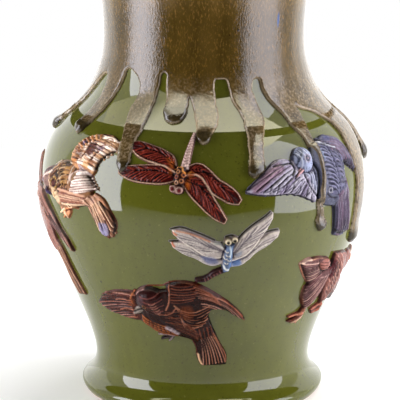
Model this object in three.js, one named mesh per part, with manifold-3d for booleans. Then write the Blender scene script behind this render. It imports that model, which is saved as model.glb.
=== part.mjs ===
// Stoneware vase: a thrown body, a run glaze on its neck and shoulder, and hand-built
// sparrows and dragonflies applied round its wall. Millimetres, +Z up, foot at z = 0.
import * as THREE from 'three';
import { mergeVertices } from 'three/addons/utils/BufferGeometryUtils.js';
import Module from 'manifold-3d';

const wasm = await Module();
wasm.setup();

// Outside of the thrown body, from the table up
const FOOT_RADIUS = 79.5;
const FOOT_LIP_RADIUS = 84.9;
const FOOT_LIP_HEIGHT = 6.5;
const WAIST_RADIUS = 75;
const WAIST_HEIGHT = 25;
const BELLY_RADIUS = 112.7;
const BELLY_HEIGHT = 151;
const SHOULDER_RADIUS = 92.4;
const SHOULDER_HEIGHT = 196.4;
const SHOULDER_LEAN = 51;
const NECK_RADIUS = 67.4;
const NECK_HEIGHT = 251;
const MOUTH_RADIUS = 81;
const HEIGHT = 325;
const MOUTH_FLARE = 20;
const LIP_ROLL_RADIUS = 4.2;

// Wall, floor and foot ring
const WALL = 6.5;
const BASE_THICKNESS = 9;
const FOOT_RECESS = 5;
const FOOT_RING_WIDTH = 9.5;
const FLOOR_FILLET = 12;

// Glaze and applied clay
const GLAZE_THICKNESS = 1.8;
const COLLAR_DROP = 14;
const WING_EDGE = 1.5;
const CLEARANCE = 0.3;
const UNDERCUT = 2;

// Fineness of the facets
const BODY_SIDES = 48;
const LEAF_STATIONS = 5;
const WIDEST_FACET = 14;

const radians = THREE.MathUtils.degToRad;

// The outside is a chain of curves between stations. A handle's length is a share of
// the distance between its two stations.
function station(radius, height, lean) {
  const angle = radians(lean);
  return {
    point: new THREE.Vector2(radius, height),
    along: new THREE.Vector2(-Math.sin(angle), Math.cos(angle)),
  };
}

function link(from, to, leave, arrive) {
  const span = from.point.distanceTo(to.point);
  return new THREE.CubicBezierCurve(
    from.point,
    from.point.clone().addScaledVector(from.along, leave * span),
    to.point.clone().addScaledVector(to.along, -arrive * span),
    to.point,
  );
}

// The rolled lip is an arc round this centre, and the wall meets it from below
const lipCentre = new THREE.Vector2(MOUTH_RADIUS - LIP_ROLL_RADIUS, HEIGHT - LIP_ROLL_RADIUS);
const LIP_START = -60;

function lipPoint(degrees) {
  const angle = radians(degrees);
  const arm = new THREE.Vector2(Math.cos(angle), Math.sin(angle));
  return lipCentre.clone().addScaledVector(arm, LIP_ROLL_RADIUS);
}

const lipStart = lipPoint(LIP_START);
const foot = station(FOOT_RADIUS, 0, -90);
const footLip = station(FOOT_LIP_RADIUS, FOOT_LIP_HEIGHT, 0);
const waist = station(WAIST_RADIUS, WAIST_HEIGHT, 0);
const belly = station(BELLY_RADIUS, BELLY_HEIGHT, 0);
const shoulder = station(SHOULDER_RADIUS, SHOULDER_HEIGHT, SHOULDER_LEAN);
const neck = station(NECK_RADIUS, NECK_HEIGHT, 0);
const mouth = station(lipStart.x, lipStart.y, -MOUTH_FLARE);

const outsideLinks = [
  { curve: link(foot, footLip, 0.45, 0.2), rows: 2 },
  { curve: link(footLip, waist, 0.22, 0.65), rows: 3 },
  { curve: link(waist, belly, 0.19, 0.345), rows: 6 },
  { curve: link(belly, shoulder, 0.38, 0.335), rows: 4 },
  { curve: link(shoulder, neck, 0.445, 0.32), rows: 4 },
  { curve: link(neck, mouth, 0.46, 0.25), rows: 3 },
];

// Points along the outside with their outward normals, at the given rows of each curve
function outsideRows(finer) {
  const rows = [];
  outsideLinks.forEach(({ curve, rows: count }, index) => {
    const steps = count * finer;
    for (let i = index === 0 ? 0 : 1; i <= steps; i++) {
      const point = curve.getPoint(i / steps);
      const tangent = curve.getTangent(i / steps);
      rows.push({ r: point.x, z: point.y, nr: tangent.y, nz: -tangent.x });
    }
  });
  return rows;
}

const FINE_ROWS = 12;
const surface = outsideRows(FINE_ROWS);
surface.forEach((row, i) => {
  const before = surface[i - 1];
  row.s = before ? before.s + Math.hypot(row.r - before.r, row.z - before.z) : 0;
});

// The place on the outside where one of a row's values, such as s or z, has been reached
function surfaceAt(key, value) {
  let i = surface.findIndex((row) => row[key] > value);
  i = THREE.MathUtils.clamp(i < 0 ? surface.length - 1 : i, 1, surface.length - 1);
  const low = surface[i - 1];
  const high = surface[i];
  const share = THREE.MathUtils.clamp((value - low[key]) / (high[key] - low[key]), 0, 1);
  const at = {};
  for (const name of ['s', 'r', 'z', 'nr', 'nz']) {
    at[name] = THREE.MathUtils.lerp(low[name], high[name], share);
  }
  return at;
}

// A point above the outside: angle in degrees from the front, arc length s from the
// foot, and distance out along the surface's normal
function onSurface(angle, s, lift) {
  const at = surfaceAt('s', s);
  const radius = at.r + at.nr * lift;
  const turn = radians(angle);
  return [radius * Math.sin(turn), -radius * Math.cos(turn), at.z + at.nz * lift];
}

// Lathe profiles are turned about Z
function turned(points) {
  const geometry = new THREE.LatheGeometry(points, BODY_SIDES);
  geometry.rotateX(Math.PI / 2);
  return geometry;
}

function weld(geometry) {
  geometry.deleteAttribute('normal');
  geometry.deleteAttribute('uv');
  return mergeVertices(geometry, 1e-4);
}

function toSolid(geometry) {
  const welded = weld(geometry);
  const index = welded.index.array;
  const kept = [];
  for (let i = 0; i < index.length; i += 3) {
    const [a, b, c] = [index[i], index[i + 1], index[i + 2]];
    if (a !== b && b !== c && c !== a) kept.push(a, b, c);
  }
  return new wasm.Manifold(new wasm.Mesh({
    numProp: 3,
    vertProperties: new Float32Array(welded.attributes.position.array),
    triVerts: new Uint32Array(kept),
  }));
}

function toGeometry(solid) {
  const mesh = solid.getMesh();
  const geometry = new THREE.BufferGeometry();
  geometry.setAttribute('position', new THREE.BufferAttribute(new Float32Array(mesh.vertProperties), 3));
  geometry.setIndex(new THREE.BufferAttribute(new Uint32Array(mesh.triVerts), 1));
  geometry.computeVertexNormals();
  return geometry;
}

// Where a cut leaves crumbs, the piece is its largest body
function largest(solid) {
  const bodies = solid.decompose();
  return bodies.reduce((best, body) => (body.volume() > best.volume() ? body : best));
}

const outside = outsideRows(1);

function bodyGeometry() {
  const points = outside.map((row) => new THREE.Vector2(row.r, row.z));
  const lipSteps = 5;
  for (let i = 1; i <= lipSteps; i++) {
    points.push(lipPoint(THREE.MathUtils.lerp(LIP_START, 180, i / lipSteps)));
  }
  // The inside keeps the wall's thickness below the lip, down to the floor's fillet,
  // with half as many rows as the outside
  const floor = FOOT_RECESS + BASE_THICKNESS;
  const inside = outside
    .filter((row, i) => i % 2 === 0)
    .map((row) => new THREE.Vector2(row.r - row.nr * WALL, row.z - row.nz * WALL))
    .filter((point) => point.y < lipCentre.y - LIP_ROLL_RADIUS && point.y > floor + FLOOR_FILLET)
    .reverse();
  points.push(...inside);
  const lowest = inside[inside.length - 1];
  const filletSteps = 2;
  for (let i = 0; i <= filletSteps; i++) {
    const angle = (Math.PI / 2) * (i / filletSteps);
    points.push(new THREE.Vector2(
      lowest.x - FLOOR_FILLET * (1 - Math.cos(angle)),
      floor + FLOOR_FILLET * (1 - Math.sin(angle)),
    ));
  }
  const recessRadius = FOOT_RADIUS - FOOT_RING_WIDTH;
  points.push(
    new THREE.Vector2(0, floor),
    new THREE.Vector2(0, FOOT_RECESS),
    new THREE.Vector2(recessRadius - FOOT_RECESS / 2, FOOT_RECESS),
    new THREE.Vector2(recessRadius, 0),
    new THREE.Vector2(FOOT_RADIUS, 0),
  );
  return turned(points);
}

// Everything that lies on the wall is cut back to the wall plus a clearance
const clearOfWall = toSolid(turned([
  new THREE.Vector2(0, 0),
  ...outside.map((row) => new THREE.Vector2(
    row.r + row.nr * CLEARANCE,
    Math.max(0, row.z + row.nz * CLEARANCE),
  )),
  new THREE.Vector2(0, lipStart.y),
]));

// A slab lies on the wall between two edges, drawn as pairs of {angle, s}. lift(t, w)
// gives its top, where t runs along the edges and w across from one edge to the other.
function slab(first, second, lift) {
  const gaps = first.map((point, i) => {
    const r = surfaceAt('s', point.s).r;
    return Math.hypot(radians(point.angle - second[i].angle) * r, point.s - second[i].s);
  });
  const across = Math.max(2, Math.ceil(Math.max(...gaps) / WIDEST_FACET));
  const along = first.length - 1;
  const positions = [];
  const place = (i, j, isTop) => {
    const w = j / across;
    const angle = THREE.MathUtils.lerp(first[i].angle, second[i].angle, w);
    const s = THREE.MathUtils.lerp(first[i].s, second[i].s, w);
    return onSurface(angle, s, isTop ? lift(i / along, w) : -UNDERCUT);
  };
  const isRightHanded = turnsRight(first, second);
  const quad = (a, b, c, d) => {
    const corners = isRightHanded ? [a, b, c, a, c, d] : [a, c, b, a, d, c];
    corners.forEach((corner) => positions.push(...corner));
  };
  for (let i = 0; i < along; i++) {
    for (let j = 0; j < across; j++) {
      quad(place(i, j, true), place(i + 1, j, true), place(i + 1, j + 1, true), place(i, j + 1, true));
      quad(place(i, j, false), place(i, j + 1, false), place(i + 1, j + 1, false), place(i + 1, j, false));
    }
    quad(place(i, 0, false), place(i + 1, 0, false), place(i + 1, 0, true), place(i, 0, true));
    quad(place(i, across, true), place(i + 1, across, true), place(i + 1, across, false), place(i, across, false));
  }
  for (let j = 0; j < across; j++) {
    quad(place(0, j, false), place(0, j, true), place(0, j + 1, true), place(0, j + 1, false));
    quad(place(along, j, true), place(along, j, false), place(along, j + 1, false), place(along, j + 1, true));
  }
  const geometry = new THREE.BufferGeometry();
  geometry.setAttribute('position', new THREE.Float32BufferAttribute(positions, 3));
  return toSolid(geometry);
}

// Whether the second edge lies to the left of the first, seen from outside the wall
function turnsRight(first, second) {
  const loop = [...first, ...[...second].reverse()];
  const area = loop.reduce((sum, a, i) => {
    const b = loop[(i + 1) % loop.length];
    return sum + a.angle * b.s - b.angle * a.s;
  }, 0);
  return area > 0;
}

// A figure is drawn flat, in millimetres from its anchor: u to the right, v up the wall.
// Each of its leaves is a crowned pad of clay between two edges from root to tip.
function smooth(edge) {
  const curve = new THREE.CatmullRomCurve3(edge.map(([u, v]) => new THREE.Vector3(u, v, 0)), false, 'centripetal');
  return curve.getPoints(LEAF_STATIONS);
}

function leafSolid(figure, leaf, swell) {
  const base = surfaceAt('z', figure.height);
  const turn = radians(figure.turn ?? 0);
  const flip = figure.mirrored ? -1 : 1;
  const size = figure.scale ?? 1;
  const wrap = (u, v) => {
    const across = size * flip * u;
    const up = size * v;
    const s = base.s + across * Math.sin(turn) + up * Math.cos(turn);
    const sideways = across * Math.cos(turn) - up * Math.sin(turn);
    return { angle: figure.angle + THREE.MathUtils.radToDeg(sideways / surfaceAt('s', s).r), s };
  };
  const first = smooth(leaf.first);
  const second = smooth(leaf.second);
  const middle = first.map((point, i) => point.clone().lerp(second[i], 0.5));
  const last = middle.length - 1;
  [[0, 1], [last, last - 1]].forEach(([end, next]) => {
    const push = middle[end].clone().sub(middle[next]).setLength(swell);
    first[end].add(push);
    second[end].add(push);
  });
  const spread = first.map((point, i) => {
    const apart = point.clone().sub(second[i]);
    return apart.length() > swell ? apart.normalize().multiplyScalar(swell) : apart;
  });
  const firstWrapped = first.map((p, i) => wrap(p.x + spread[i].x, p.y + spread[i].y));
  const secondWrapped = second.map((p, i) => wrap(p.x - spread[i].x, p.y - spread[i].y));
  const rise = leaf.rise - WING_EDGE;
  const top = (t, w) => WING_EDGE + swell + rise * Math.sin(Math.PI * w) * Math.sin(Math.PI * t) ** 0.5;
  return slab(firstWrapped, secondWrapped, top);
}

function figureSolid(figure, swell = 0) {
  const leaves = figure.leaves.map((leaf) => leafSolid(figure, leaf, swell));
  return leaves.reduce((whole, leaf) => whole.add(leaf));
}

// A round pad, as the two edges of a leaf
function disc([u, v], halfWidth, halfHeight, rise) {
  const arc = (sign) => [180, 135, 90, 45, 0].map((degrees) => [
    u + halfWidth * Math.cos(radians(degrees)),
    v + sign * halfHeight * Math.sin(radians(degrees)),
  ]);
  return { first: arc(1), second: arc(-1), rise };
}

// Heights of the applied clay above the wall
const WING_RISE = 3.6;
const TAIL_RISE = 3.2;
const BODY_RISE = 6.5;
const HEAD_RISE = 8;
const BEAK_RISE = 4.5;
const CLAW_RISE = 2.4;
const INSECT_WING_RISE = 2.6;
const INSECT_BODY_RISE = 4.8;
const INSECT_TAIL_RISE = 3.4;

// Sparrow gliding to the left with both wings spread, seen from above
const glidingSparrow = [
  {
    first: [[-22, 6], [-36.5, 7.4], [-45.5, 5.8], [-58, 0.4], [-64, -5]],
    second: [[-20, -14], [-34.6, -15.7], [-42.4, -14], [-54.9, -12], [-64, -7]],
    rise: WING_RISE,
  },
  {
    first: [[-26, 4], [-12, 12], [2, 12], [14, 2], [20, -16]],
    second: [[-28, -15], [-15, -23.4], [-4, -25], [4, -27.5], [10, -30]],
    rise: BODY_RISE,
  },
  disc([-19.5, 3.5], 12, 9.6, HEAD_RISE),
  {
    first: [[-25, 0], [-30, -3], [-33.2, -9.5]],
    second: [[-22, -6], [-27, -9], [-33.2, -10.5]],
    rise: BEAK_RISE,
  },
  {
    first: [[-9, 16], [1.2, 19.4], [9.8, 18.8], [17.4, 14.6], [25.7, 8.3], [34, 0.8], [41, -8.9], [42.5, -12]],
    second: [[-9, -2], [-2, -9], [7, -13], [15.9, -11], [20.1, -3.3], [28, -2.6], [36, -9], [42, -13]],
    rise: WING_RISE + 1,
  },
  {
    first: [[4, -24], [8, -31], [9.5, -38.2], [9.2, -44.4], [11.5, -50]],
    second: [[19, -14], [21, -20], [25, -32.9], [28.6, -42], [28, -49.5]],
    rise: TAIL_RISE,
  },
  {
    first: [[-14, -22], [-9, -24], [-4, -25]],
    second: [[-14.5, -27], [-9, -29.5], [-4.2, -29.5]],
    rise: CLAW_RISE,
  },
];

// Sparrow with one wing raised and the other folded down, head to the left
const raisedWingSparrow = [
  {
    first: [[-17, 8], [-18.3, 16.5], [-14.2, 23.9], [-7, 29.8], [3, 33], [12, 32.5], [19, 28.5]],
    second: [[2, 0], [8, 6], [9, 12], [12, 17], [16, 20], [19, 24], [20.5, 27]],
    rise: WING_RISE,
  },
  {
    first: [[-42, -2], [-33, 5.4], [-24, 9], [-14, 8], [-2, 2], [8, -6]],
    second: [[-42, -9], [-32, -17], [-24, -22], [-12, -21], [0, -17.5], [8, -16]],
    rise: BODY_RISE,
  },
  disc([-38.5, -5.5], 9, 8.8, HEAD_RISE),
  {
    first: [[-44, -8], [-47, -10], [-50.5, -14.5]],
    second: [[-42, -13], [-45, -14.5], [-50.5, -15.5]],
    rise: BEAK_RISE,
  },
  {
    first: [[-14, 2], [-8, 5], [-1.5, 6.5], [1, 6]],
    second: [[-11, -9.5], [-1, -8.5], [6, -6.5], [10, -4.5]],
    rise: BODY_RISE + 0.6,
  },
  {
    first: [[3, -14], [7, -17.4], [9.5, -26], [12.9, -33.6], [16.5, -36.5]],
    second: [[10, -7], [17, -9.8], [21.4, -15.4], [27, -26], [23, -35.5]],
    rise: TAIL_RISE,
  },
  {
    first: [[-26, -18], [-26.5, -22], [-20, -28]],
    second: [[-16, -19], [-14, -23], [-17, -28.5]],
    rise: CLAW_RISE,
  },
];

// Sparrow diving with its wings to either side and its tail straight down
const divingSparrow = [
  {
    first: [[4, 8], [-12, 11], [-18, 12.5], [-24.6, 11.1], [-30.3, 6.4], [-39.5, -1.3], [-47, -6.5]],
    second: [[5, -19], [-3.3, -15.3], [-10.1, -12.6], [-17.8, -10.7], [-24.1, -11.2], [-38, -10.2], [-47, -8.5]],
    rise: WING_RISE,
  },
  {
    first: [[8, 20], [4, 8], [4, -8], [9, -20], [22, -24]],
    second: [[19, 22], [32, 13], [36.5, 1.4], [36, -6.2], [40, -18]],
    rise: BODY_RISE - 1,
  },
  disc([-2.6, 10], 7.6, 9, HEAD_RISE),
  {
    first: [[-7, 7], [-9, 4.6], [-12.6, -0.5]],
    second: [[-4, 2.6], [-8, 0.8], [-12, -1.5]],
    rise: BEAK_RISE,
  },
  {
    first: [[14, 21], [22.6, 24.8], [30.1, 22.8], [38.5, 19.4], [43, 12], [49, 3.6], [52, -5]],
    second: [[18, 13], [27, 11], [34, 7], [39, 3], [44, 1], [48, -1.9], [51.5, -6]],
    rise: WING_RISE,
  },
  {
    first: [[21, -20], [22.4, -24], [24.5, -31.9], [25.5, -38], [26.5, -44]],
    second: [[40, -16], [40.6, -23], [43, -31], [44.5, -38], [45.5, -46]],
    rise: TAIL_RISE,
  },
];

// Sparrow climbing away to the right, one wing fanned and both legs trailing
const climbingSparrow = [
  {
    first: [[1, 18.5], [-7.6, 20], [-16.1, 20.8], [-24.5, 18.2]],
    second: [[3, 7], [-3, 4], [-7, 2], [-11.7, 0.7]],
    rise: WING_RISE,
  },
  disc([-1.2, 13.2], 5.2, 5.2, BODY_RISE),
  {
    first: [[-3, 10], [-11, 2], [-13, -5], [-12, -12], [-6, -20.5]],
    second: [[12, 10], [10, 3], [8, -3], [5, -10.5], [-2, -20.5]],
    rise: WING_RISE + 1,
  },
  {
    first: [[10, 20], [9, 10], [9, 0], [9.5, -10], [14, -20]],
    second: [[29, 17], [36, 8], [34, -3], [28, -12], [20, -21.5]],
    rise: BODY_RISE,
  },
  disc([38, 7], 10, 9, HEAD_RISE),
  {
    first: [[45, 13], [49, 14], [54, 15.5]],
    second: [[46, 7], [50, 10], [54, 14.5]],
    rise: BEAK_RISE,
  },
  {
    first: [[36, 0], [45, -6], [54, -14], [60, -22], [64, -31]],
    second: [[30, -8], [38, -17], [46, -24], [54, -30], [63, -32]],
    rise: WING_RISE,
  },
  {
    first: [[-6, -18], [-10, -24], [-16.8, -29]],
    second: [[-1, -19], [-5, -28], [-10, -32.5]],
    rise: CLAW_RISE,
  },
  {
    first: [[15, -18], [13, -23], [9.5, -27.5]],
    second: [[19.5, -19], [17.5, -25], [13, -29.5]],
    rise: CLAW_RISE,
  },
];

// Sparrow crossing the wall's left side, one wing and its tail trailing down and right
const crossingSparrow = [
  {
    first: [[-10, 32], [8, 30], [19, 22], [27.3, 15.8], [33.5, 7.7], [40, 1], [43.5, -7]],
    second: [[-6, 14], [8, 14], [18, 9], [25, 4.5], [31, 0.5], [37, -4], [42.5, -8]],
    rise: WING_RISE,
  },
  {
    first: [[-22, 26], [-8, 26], [6, 17], [16, 3], [22, -9]],
    second: [[-24, 8], [-16, -2], [-4, -7], [4, -10], [10, -14]],
    rise: BODY_RISE,
  },
  disc([-22, 19], 10, 9, BODY_RISE),
  {
    first: [[-30, 23], [-34, 22.5], [-38.5, 20.5]],
    second: [[-29, 16], [-33.5, 17.5], [-38.5, 19.5]],
    rise: BEAK_RISE,
  },
  {
    first: [[20, -4], [25, -10], [27, -17], [29, -27], [31, -36], [33, -43]],
    second: [[8, -8], [13, -15], [16, -21], [18.5, -29], [20, -38], [23, -44.5]],
    rise: TAIL_RISE,
  },
  {
    first: [[-16, 24], [-22, 32], [-24, 42], [-20, 52]],
    second: [[-2, 26], [-4, 36], [-10, 46], [-18, 53]],
    rise: WING_RISE,
  },
];

// Dragonfly with its tail up and its head down
const headDownDragonfly = [
  {
    first: [[-2.5, 3.5], [-4.4, 9.7], [-10.7, 13.8], [-20.2, 17.2], [-31.3, 18.9], [-35.4, 17]],
    second: [[-3, -1], [-8, 1], [-14, 3.6], [-24.7, 6.3], [-31, 9.4], [-35.4, 14]],
    rise: INSECT_WING_RISE,
  },
  {
    first: [[-3, -1], [-6.7, 1.2], [-11.1, 3.4], [-18.3, 3.6], [-27.6, 2.8], [-36, 1.4], [-42.6, -1.4]],
    second: [[-2, -6], [-6, -7.5], [-12.7, -8.8], [-20, -8.9], [-28, -8.6], [-37, -6.8], [-42.6, -4]],
    rise: INSECT_WING_RISE,
  },
  {
    first: [[2, -0.5], [6.5, 4.6], [11.1, 5.9], [19.4, 1.1], [24.3, -4.2], [32.1, -8.9], [38.2, -14.3], [40.5, -18.4]],
    second: [[3, -5], [8, -6], [12, -7.5], [18, -11.5], [22, -14.7], [27, -17.7], [33, -20.8], [38.5, -21.4]],
    rise: INSECT_WING_RISE,
  },
  {
    first: [[2, -3.5], [8.1, -1.6], [12.8, -3], [17.6, -8.8], [21.9, -15.7], [26.6, -23.3], [30.9, -31]],
    second: [[2, -8.5], [4.5, -12.5], [8, -16.8], [12.6, -21.4], [18, -26.8], [23.8, -31.4], [29.2, -34]],
    rise: INSECT_WING_RISE,
  },
  {
    first: [[-2, 3], [-3.5, -3], [-3.6, -9]],
    second: [[4.5, 3], [4, -3], [2.6, -10]],
    rise: INSECT_BODY_RISE,
  },
  disc([-4.2, -11.2], 2.7, 2.9, INSECT_BODY_RISE),
  disc([0.9, -12.3], 2.6, 2.8, INSECT_BODY_RISE),
  {
    first: [[-0.5, 1], [2.7, 15.7], [5.8, 28]],
    second: [[5.6, 1], [7.1, 16.5], [8.8, 28]],
    rise: INSECT_TAIL_RISE,
  },
];

// Dragonfly with its head up and its tail down to the left
const headUpDragonfly = [
  {
    first: [[-1, -1.5], [-5, 2.2], [-9.3, 3.8], [-17.2, 7.6], [-24, 10.3], [-32.3, 12.6], [-36.4, 12.4]],
    second: [[-1.5, -5.5], [-6, -7], [-10.4, -7.2], [-16.2, -4.8], [-22.6, 0.4], [-29, 4], [-35.5, 9.4]],
    rise: INSECT_WING_RISE,
  },
  {
    first: [[-1.5, -5], [-6, -6.4], [-11, -6.2], [-16.6, -4], [-23, 0.5], [-30, 3.6], [-37.2, 3.6]],
    second: [[-1.8, -10], [-5.5, -11.6], [-9.6, -12.7], [-14.9, -11.1], [-20.8, -7.4], [-28, -4.7], [-35.6, 0.2]],
    rise: INSECT_WING_RISE,
  },
  {
    first: [[2.2, -3.5], [4.5, 0.2], [7.4, 6], [11.6, 10.3], [16.8, 14.4], [25, 19.3], [29.6, 22.4]],
    second: [[2, -9.5], [5.5, -8.6], [10.7, -6.6], [15.9, -0.9], [20.5, 5.1], [25.2, 11.5], [29.4, 19]],
    rise: INSECT_WING_RISE,
  },
  {
    first: [[1, -9], [6, -7.6], [11, -5.4], [16, -0.6], [22, 5.4], [28.2, 9], [34.8, 9.6]],
    second: [[0.5, -13.2], [4, -13.6], [8.4, -13], [13.6, -9.3], [18.8, -4.3], [26.9, 0.5], [33.6, 6]],
    rise: INSECT_WING_RISE,
  },
  {
    first: [[-1.6, 2.6], [-3, -4], [-3.6, -12], [-3.2, -17]],
    second: [[4, 3], [3.4, -4], [2.2, -12], [1, -17]],
    rise: INSECT_BODY_RISE,
  },
  disc([0.1, 4.8], 2.7, 2.7, INSECT_BODY_RISE),
  disc([4.5, 5.8], 2.2, 2.4, INSECT_BODY_RISE),
  {
    first: [[-3, -13.5], [-11.5, -17.8], [-18.5, -22.4]],
    second: [[0.5, -17], [-9.8, -22.6], [-17, -26.2]],
    rise: INSECT_TAIL_RISE,
  },
];

// Clay and glaze colours
const colours = {
  green: 0x667032,
  collar: 0x5a461c,
  run: 0x9a8666,
  brown: 0x4a2a1e,
  cream: 0xcdb48c,
  blue: 0x8d93ad,
  rust: 0x6b3527,
  red: 0x4c1712,
  white: 0xb9b6b8,
};

// The figures, each by its angle round from the front and its height on the wall
const figures = [
  { name: 'dragonfly_red', angle: -7.9, height: 175.3, leaves: headDownDragonfly, colour: 'red' },
  { name: 'dragonfly_white', angle: 8.6, height: 125.2, leaves: headUpDragonfly, colour: 'white' },
  { name: 'sparrow_dark_brown', angle: -8.9, height: 82.7, leaves: glidingSparrow, colour: 'brown' },
  { name: 'sparrow_cream', angle: -43.9, height: 164, leaves: raisedWingSparrow, colour: 'cream' },
  { name: 'sparrow_blue', angle: 38.3, height: 169.4, leaves: divingSparrow, colour: 'blue' },
  { name: 'sparrow_russet_right', angle: 51.7, height: 91.7, leaves: climbingSparrow, colour: 'rust' },
  { name: 'sparrow_russet_left', angle: -78, height: 118, leaves: crossingSparrow, colour: 'rust' },
  {
    name: 'sparrow_brown_back', angle: 132, height: 128, leaves: glidingSparrow, colour: 'brown',
    turn: -12, mirrored: true,
  },
  {
    name: 'sparrow_cream_back', angle: 205, height: 112, leaves: raisedWingSparrow, colour: 'cream',
    turn: 18,
  },
  { name: 'dragonfly_white_back', angle: 168, height: 168, leaves: headUpDragonfly, colour: 'white', mirrored: true },
  { name: 'dragonfly_red_back', angle: 226, height: 172, leaves: headDownDragonfly, colour: 'red', turn: 25 },
];

// Each glaze run is listed from the collar down: drop below the collar's foot, left and
// right angle, and thickness. Neighbours share an angle down to the notch between them.
const T = GLAZE_THICKNESS;
const BEAD = 3.2;
const OVER_WING = 5.4;
const OVER_BIRD = 8.2;
const runs = [
  [[-103, -70, T], [9, -101, -71, T], [20, -98, -78, T], [32, -95, -82.5, T], [43, -92.5, -85, T],
    [49, -91, -86, BEAD], [53, -89, -88, T]],
  [[-70, -46.3, T], [9, -67.5, -47.6, T], [20, -63.5, -50.7, T], [28, -63, -53, T], [34, -62.2, -55.6, T],
    [40, -61.4, -56.6, BEAD], [47, -61, -55.6, BEAD], [51, -59.5, -57.5, T]],
  [[-46.3, -23.1, T], [9, -39.5, -24.8, T], [19, -36.8, -26, T], [26, -37.7, -26.7, T], [35, -36.4, -27.1, T],
    [43, -34.6, -27.2, OVER_WING], [51, -33.4, -27.2, OVER_WING], [57, -32.6, -26.4, BEAD],
    [62, -31.2, -27, BEAD], [65, -30, -28.6, T]],
  [[-23.1, -8.3, T], [8, -21.5, -9, T], [17, -19.4, -10, T], [24, -18.3, -9.5, T], [30, -18.6, -8.6, BEAD],
    [34, -17, -10.2, BEAD], [36, -14.4, -12.6, T]],
  [[-8.3, 9.8, T], [9, -7.8, 8, T], [21, -6.2, 6.4, T], [30, -3.6, 7, T], [37, -3, 5.4, T],
    [43, -3.6, 3.4, BEAD], [46, -2.6, 1.8, T]],
  [[9.8, 29.8, T], [9, 12.2, 28.6, T], [18, 14, 26.2, T], [25, 15.5, 27.9, T], [32, 17.3, 28.5, T],
    [39, 18.5, 25.5, T], [47, 17.2, 23.4, T], [57, 17.5, 23.7, T], [63, 16, 21.2, BEAD],
    [66, 17, 19.6, T]],
  [[29.8, 51, T], [11, 30.9, 51, T], [20, 34, 50.6, T], [27, 38, 50, T], [34, 39.2, 49.9, T],
    [41, 41, 49, T], [47, 39.8, 48, T], [53, 42.6, 46, OVER_BIRD], [63, 42.8, 45.6, OVER_BIRD],
    [74, 41.8, 45, OVER_BIRD], [85, 41, 44.4, OVER_BIRD], [96, 41.8, 46.2, BEAD], [104, 42.6, 46.2, BEAD],
    [107, 43.6, 45, T]],
  [[51, 86, T], [15, 51.2, 86, T], [27, 52, 86, T], [33, 59, 85.4, T], [38, 64.5, 84.5, T],
    [45, 66.5, 83, T], [53, 65.8, 80, T], [63, 65.6, 77, T], [77, 66.4, 74.4, T], [92, 66.2, 73.4, T],
    [106, 66.8, 73.6, T], [117, 67.6, 75, BEAD], [123, 68.4, 74.6, BEAD], [125.5, 70.4, 72.6, T]],
  [[86, 103, T], [15, 86.2, 102, T], [25, 87, 101, T], [37, 88.4, 99, T], [52, 88.6, 97.5, T],
    [65, 88.8, 97, BEAD], [72, 89.6, 96, BEAD], [75, 91.6, 94, T]],
  [[103, 131, T], [12, 106, 129, T], [23, 110, 126, T], [34, 112.5, 124, T], [45, 113.5, 122, T],
    [53, 114, 121.4, BEAD], [57, 116.4, 119, T]],
  [[131, 158, T], [10, 133, 155.5, T], [21, 136, 152, T], [31, 137.4, 149.6, BEAD], [38, 138.2, 148.6, BEAD],
    [42, 141.6, 145, T]],
  [[158, 189, T], [13, 161, 187, T], [24, 166, 184.6, T], [33, 168.4, 182, T], [40, 170, 180.6, BEAD],
    [45, 171.4, 179.4, BEAD], [47.5, 174, 177, T]],
  [[189, 221, T], [12, 191.4, 218, T], [24, 195, 213, T], [35, 197.6, 209.6, T], [47, 199.6, 208, T],
    [61, 200.4, 207.4, T], [77, 200.8, 207.8, BEAD], [83, 201.8, 206.6, BEAD], [86, 203.6, 205, T]],
  [[221, 257, T], [11, 224.6, 254, T], [22, 229, 250.4, T], [31, 232.4, 247, T], [37, 234.6, 244.6, BEAD],
    [42, 236.4, 242.6, BEAD], [45, 238.8, 240.4, T]],
];

// The collar ends a little below the narrowest part of the neck, and the runs go on
// from there
const collarFoot = NECK_HEIGHT - COLLAR_DROP;

function collarGeometry() {
  const from = surfaceAt('z', collarFoot).s;
  const to = surface[surface.length - 1].s - GLAZE_THICKNESS;
  const inner = outside.filter((row) => row.z > collarFoot + 1 && row.z < lipStart.y - GLAZE_THICKNESS);
  const rows = [surfaceAt('s', from), ...inner, surfaceAt('s', to)];
  const side = (lift) => rows.map((row) => new THREE.Vector2(row.r + row.nr * lift, row.z + row.nz * lift));
  const skin = side(CLEARANCE + GLAZE_THICKNESS);
  const back = side(CLEARANCE).reverse();
  return turned([...skin, ...back, skin[0]]);
}

function runSolid(rows) {
  const [[left, right, thickness], ...below] = rows;
  const top = surfaceAt('z', collarFoot).s - CLEARANCE;
  const listed = [
    { s: top, left, right, thickness },
    ...below.map(([drop, l, r, lift]) => ({
      s: surfaceAt('z', collarFoot - drop).s, left: l, right: r, thickness: lift,
    })),
  ];
  const inset = (row) => THREE.MathUtils.radToDeg(CLEARANCE / 2 / surfaceAt('s', row.s).r);
  const first = listed.map((row) => ({ angle: row.left + inset(row), s: row.s }));
  const second = listed.map((row) => ({ angle: row.right - inset(row), s: row.s }));
  const last = listed.length - 1;
  const lift = (t, w) => {
    const full = listed[Math.round(t * last)].thickness;
    return CLEARANCE + full * (0.6 + 0.4 * Math.sin(Math.PI * w));
  };
  return slab(first, second, lift);
}

function material(name) {
  return new THREE.MeshStandardMaterial({ color: colours[name], roughness: 0.25, metalness: 0 });
}

function piece(name, geometry, colour) {
  const mesh = new THREE.Mesh(geometry, material(colour));
  mesh.name = name;
  return mesh;
}

const vase = new THREE.Group();
vase.add(piece('vase_body', bodyGeometry(), 'green'));

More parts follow.
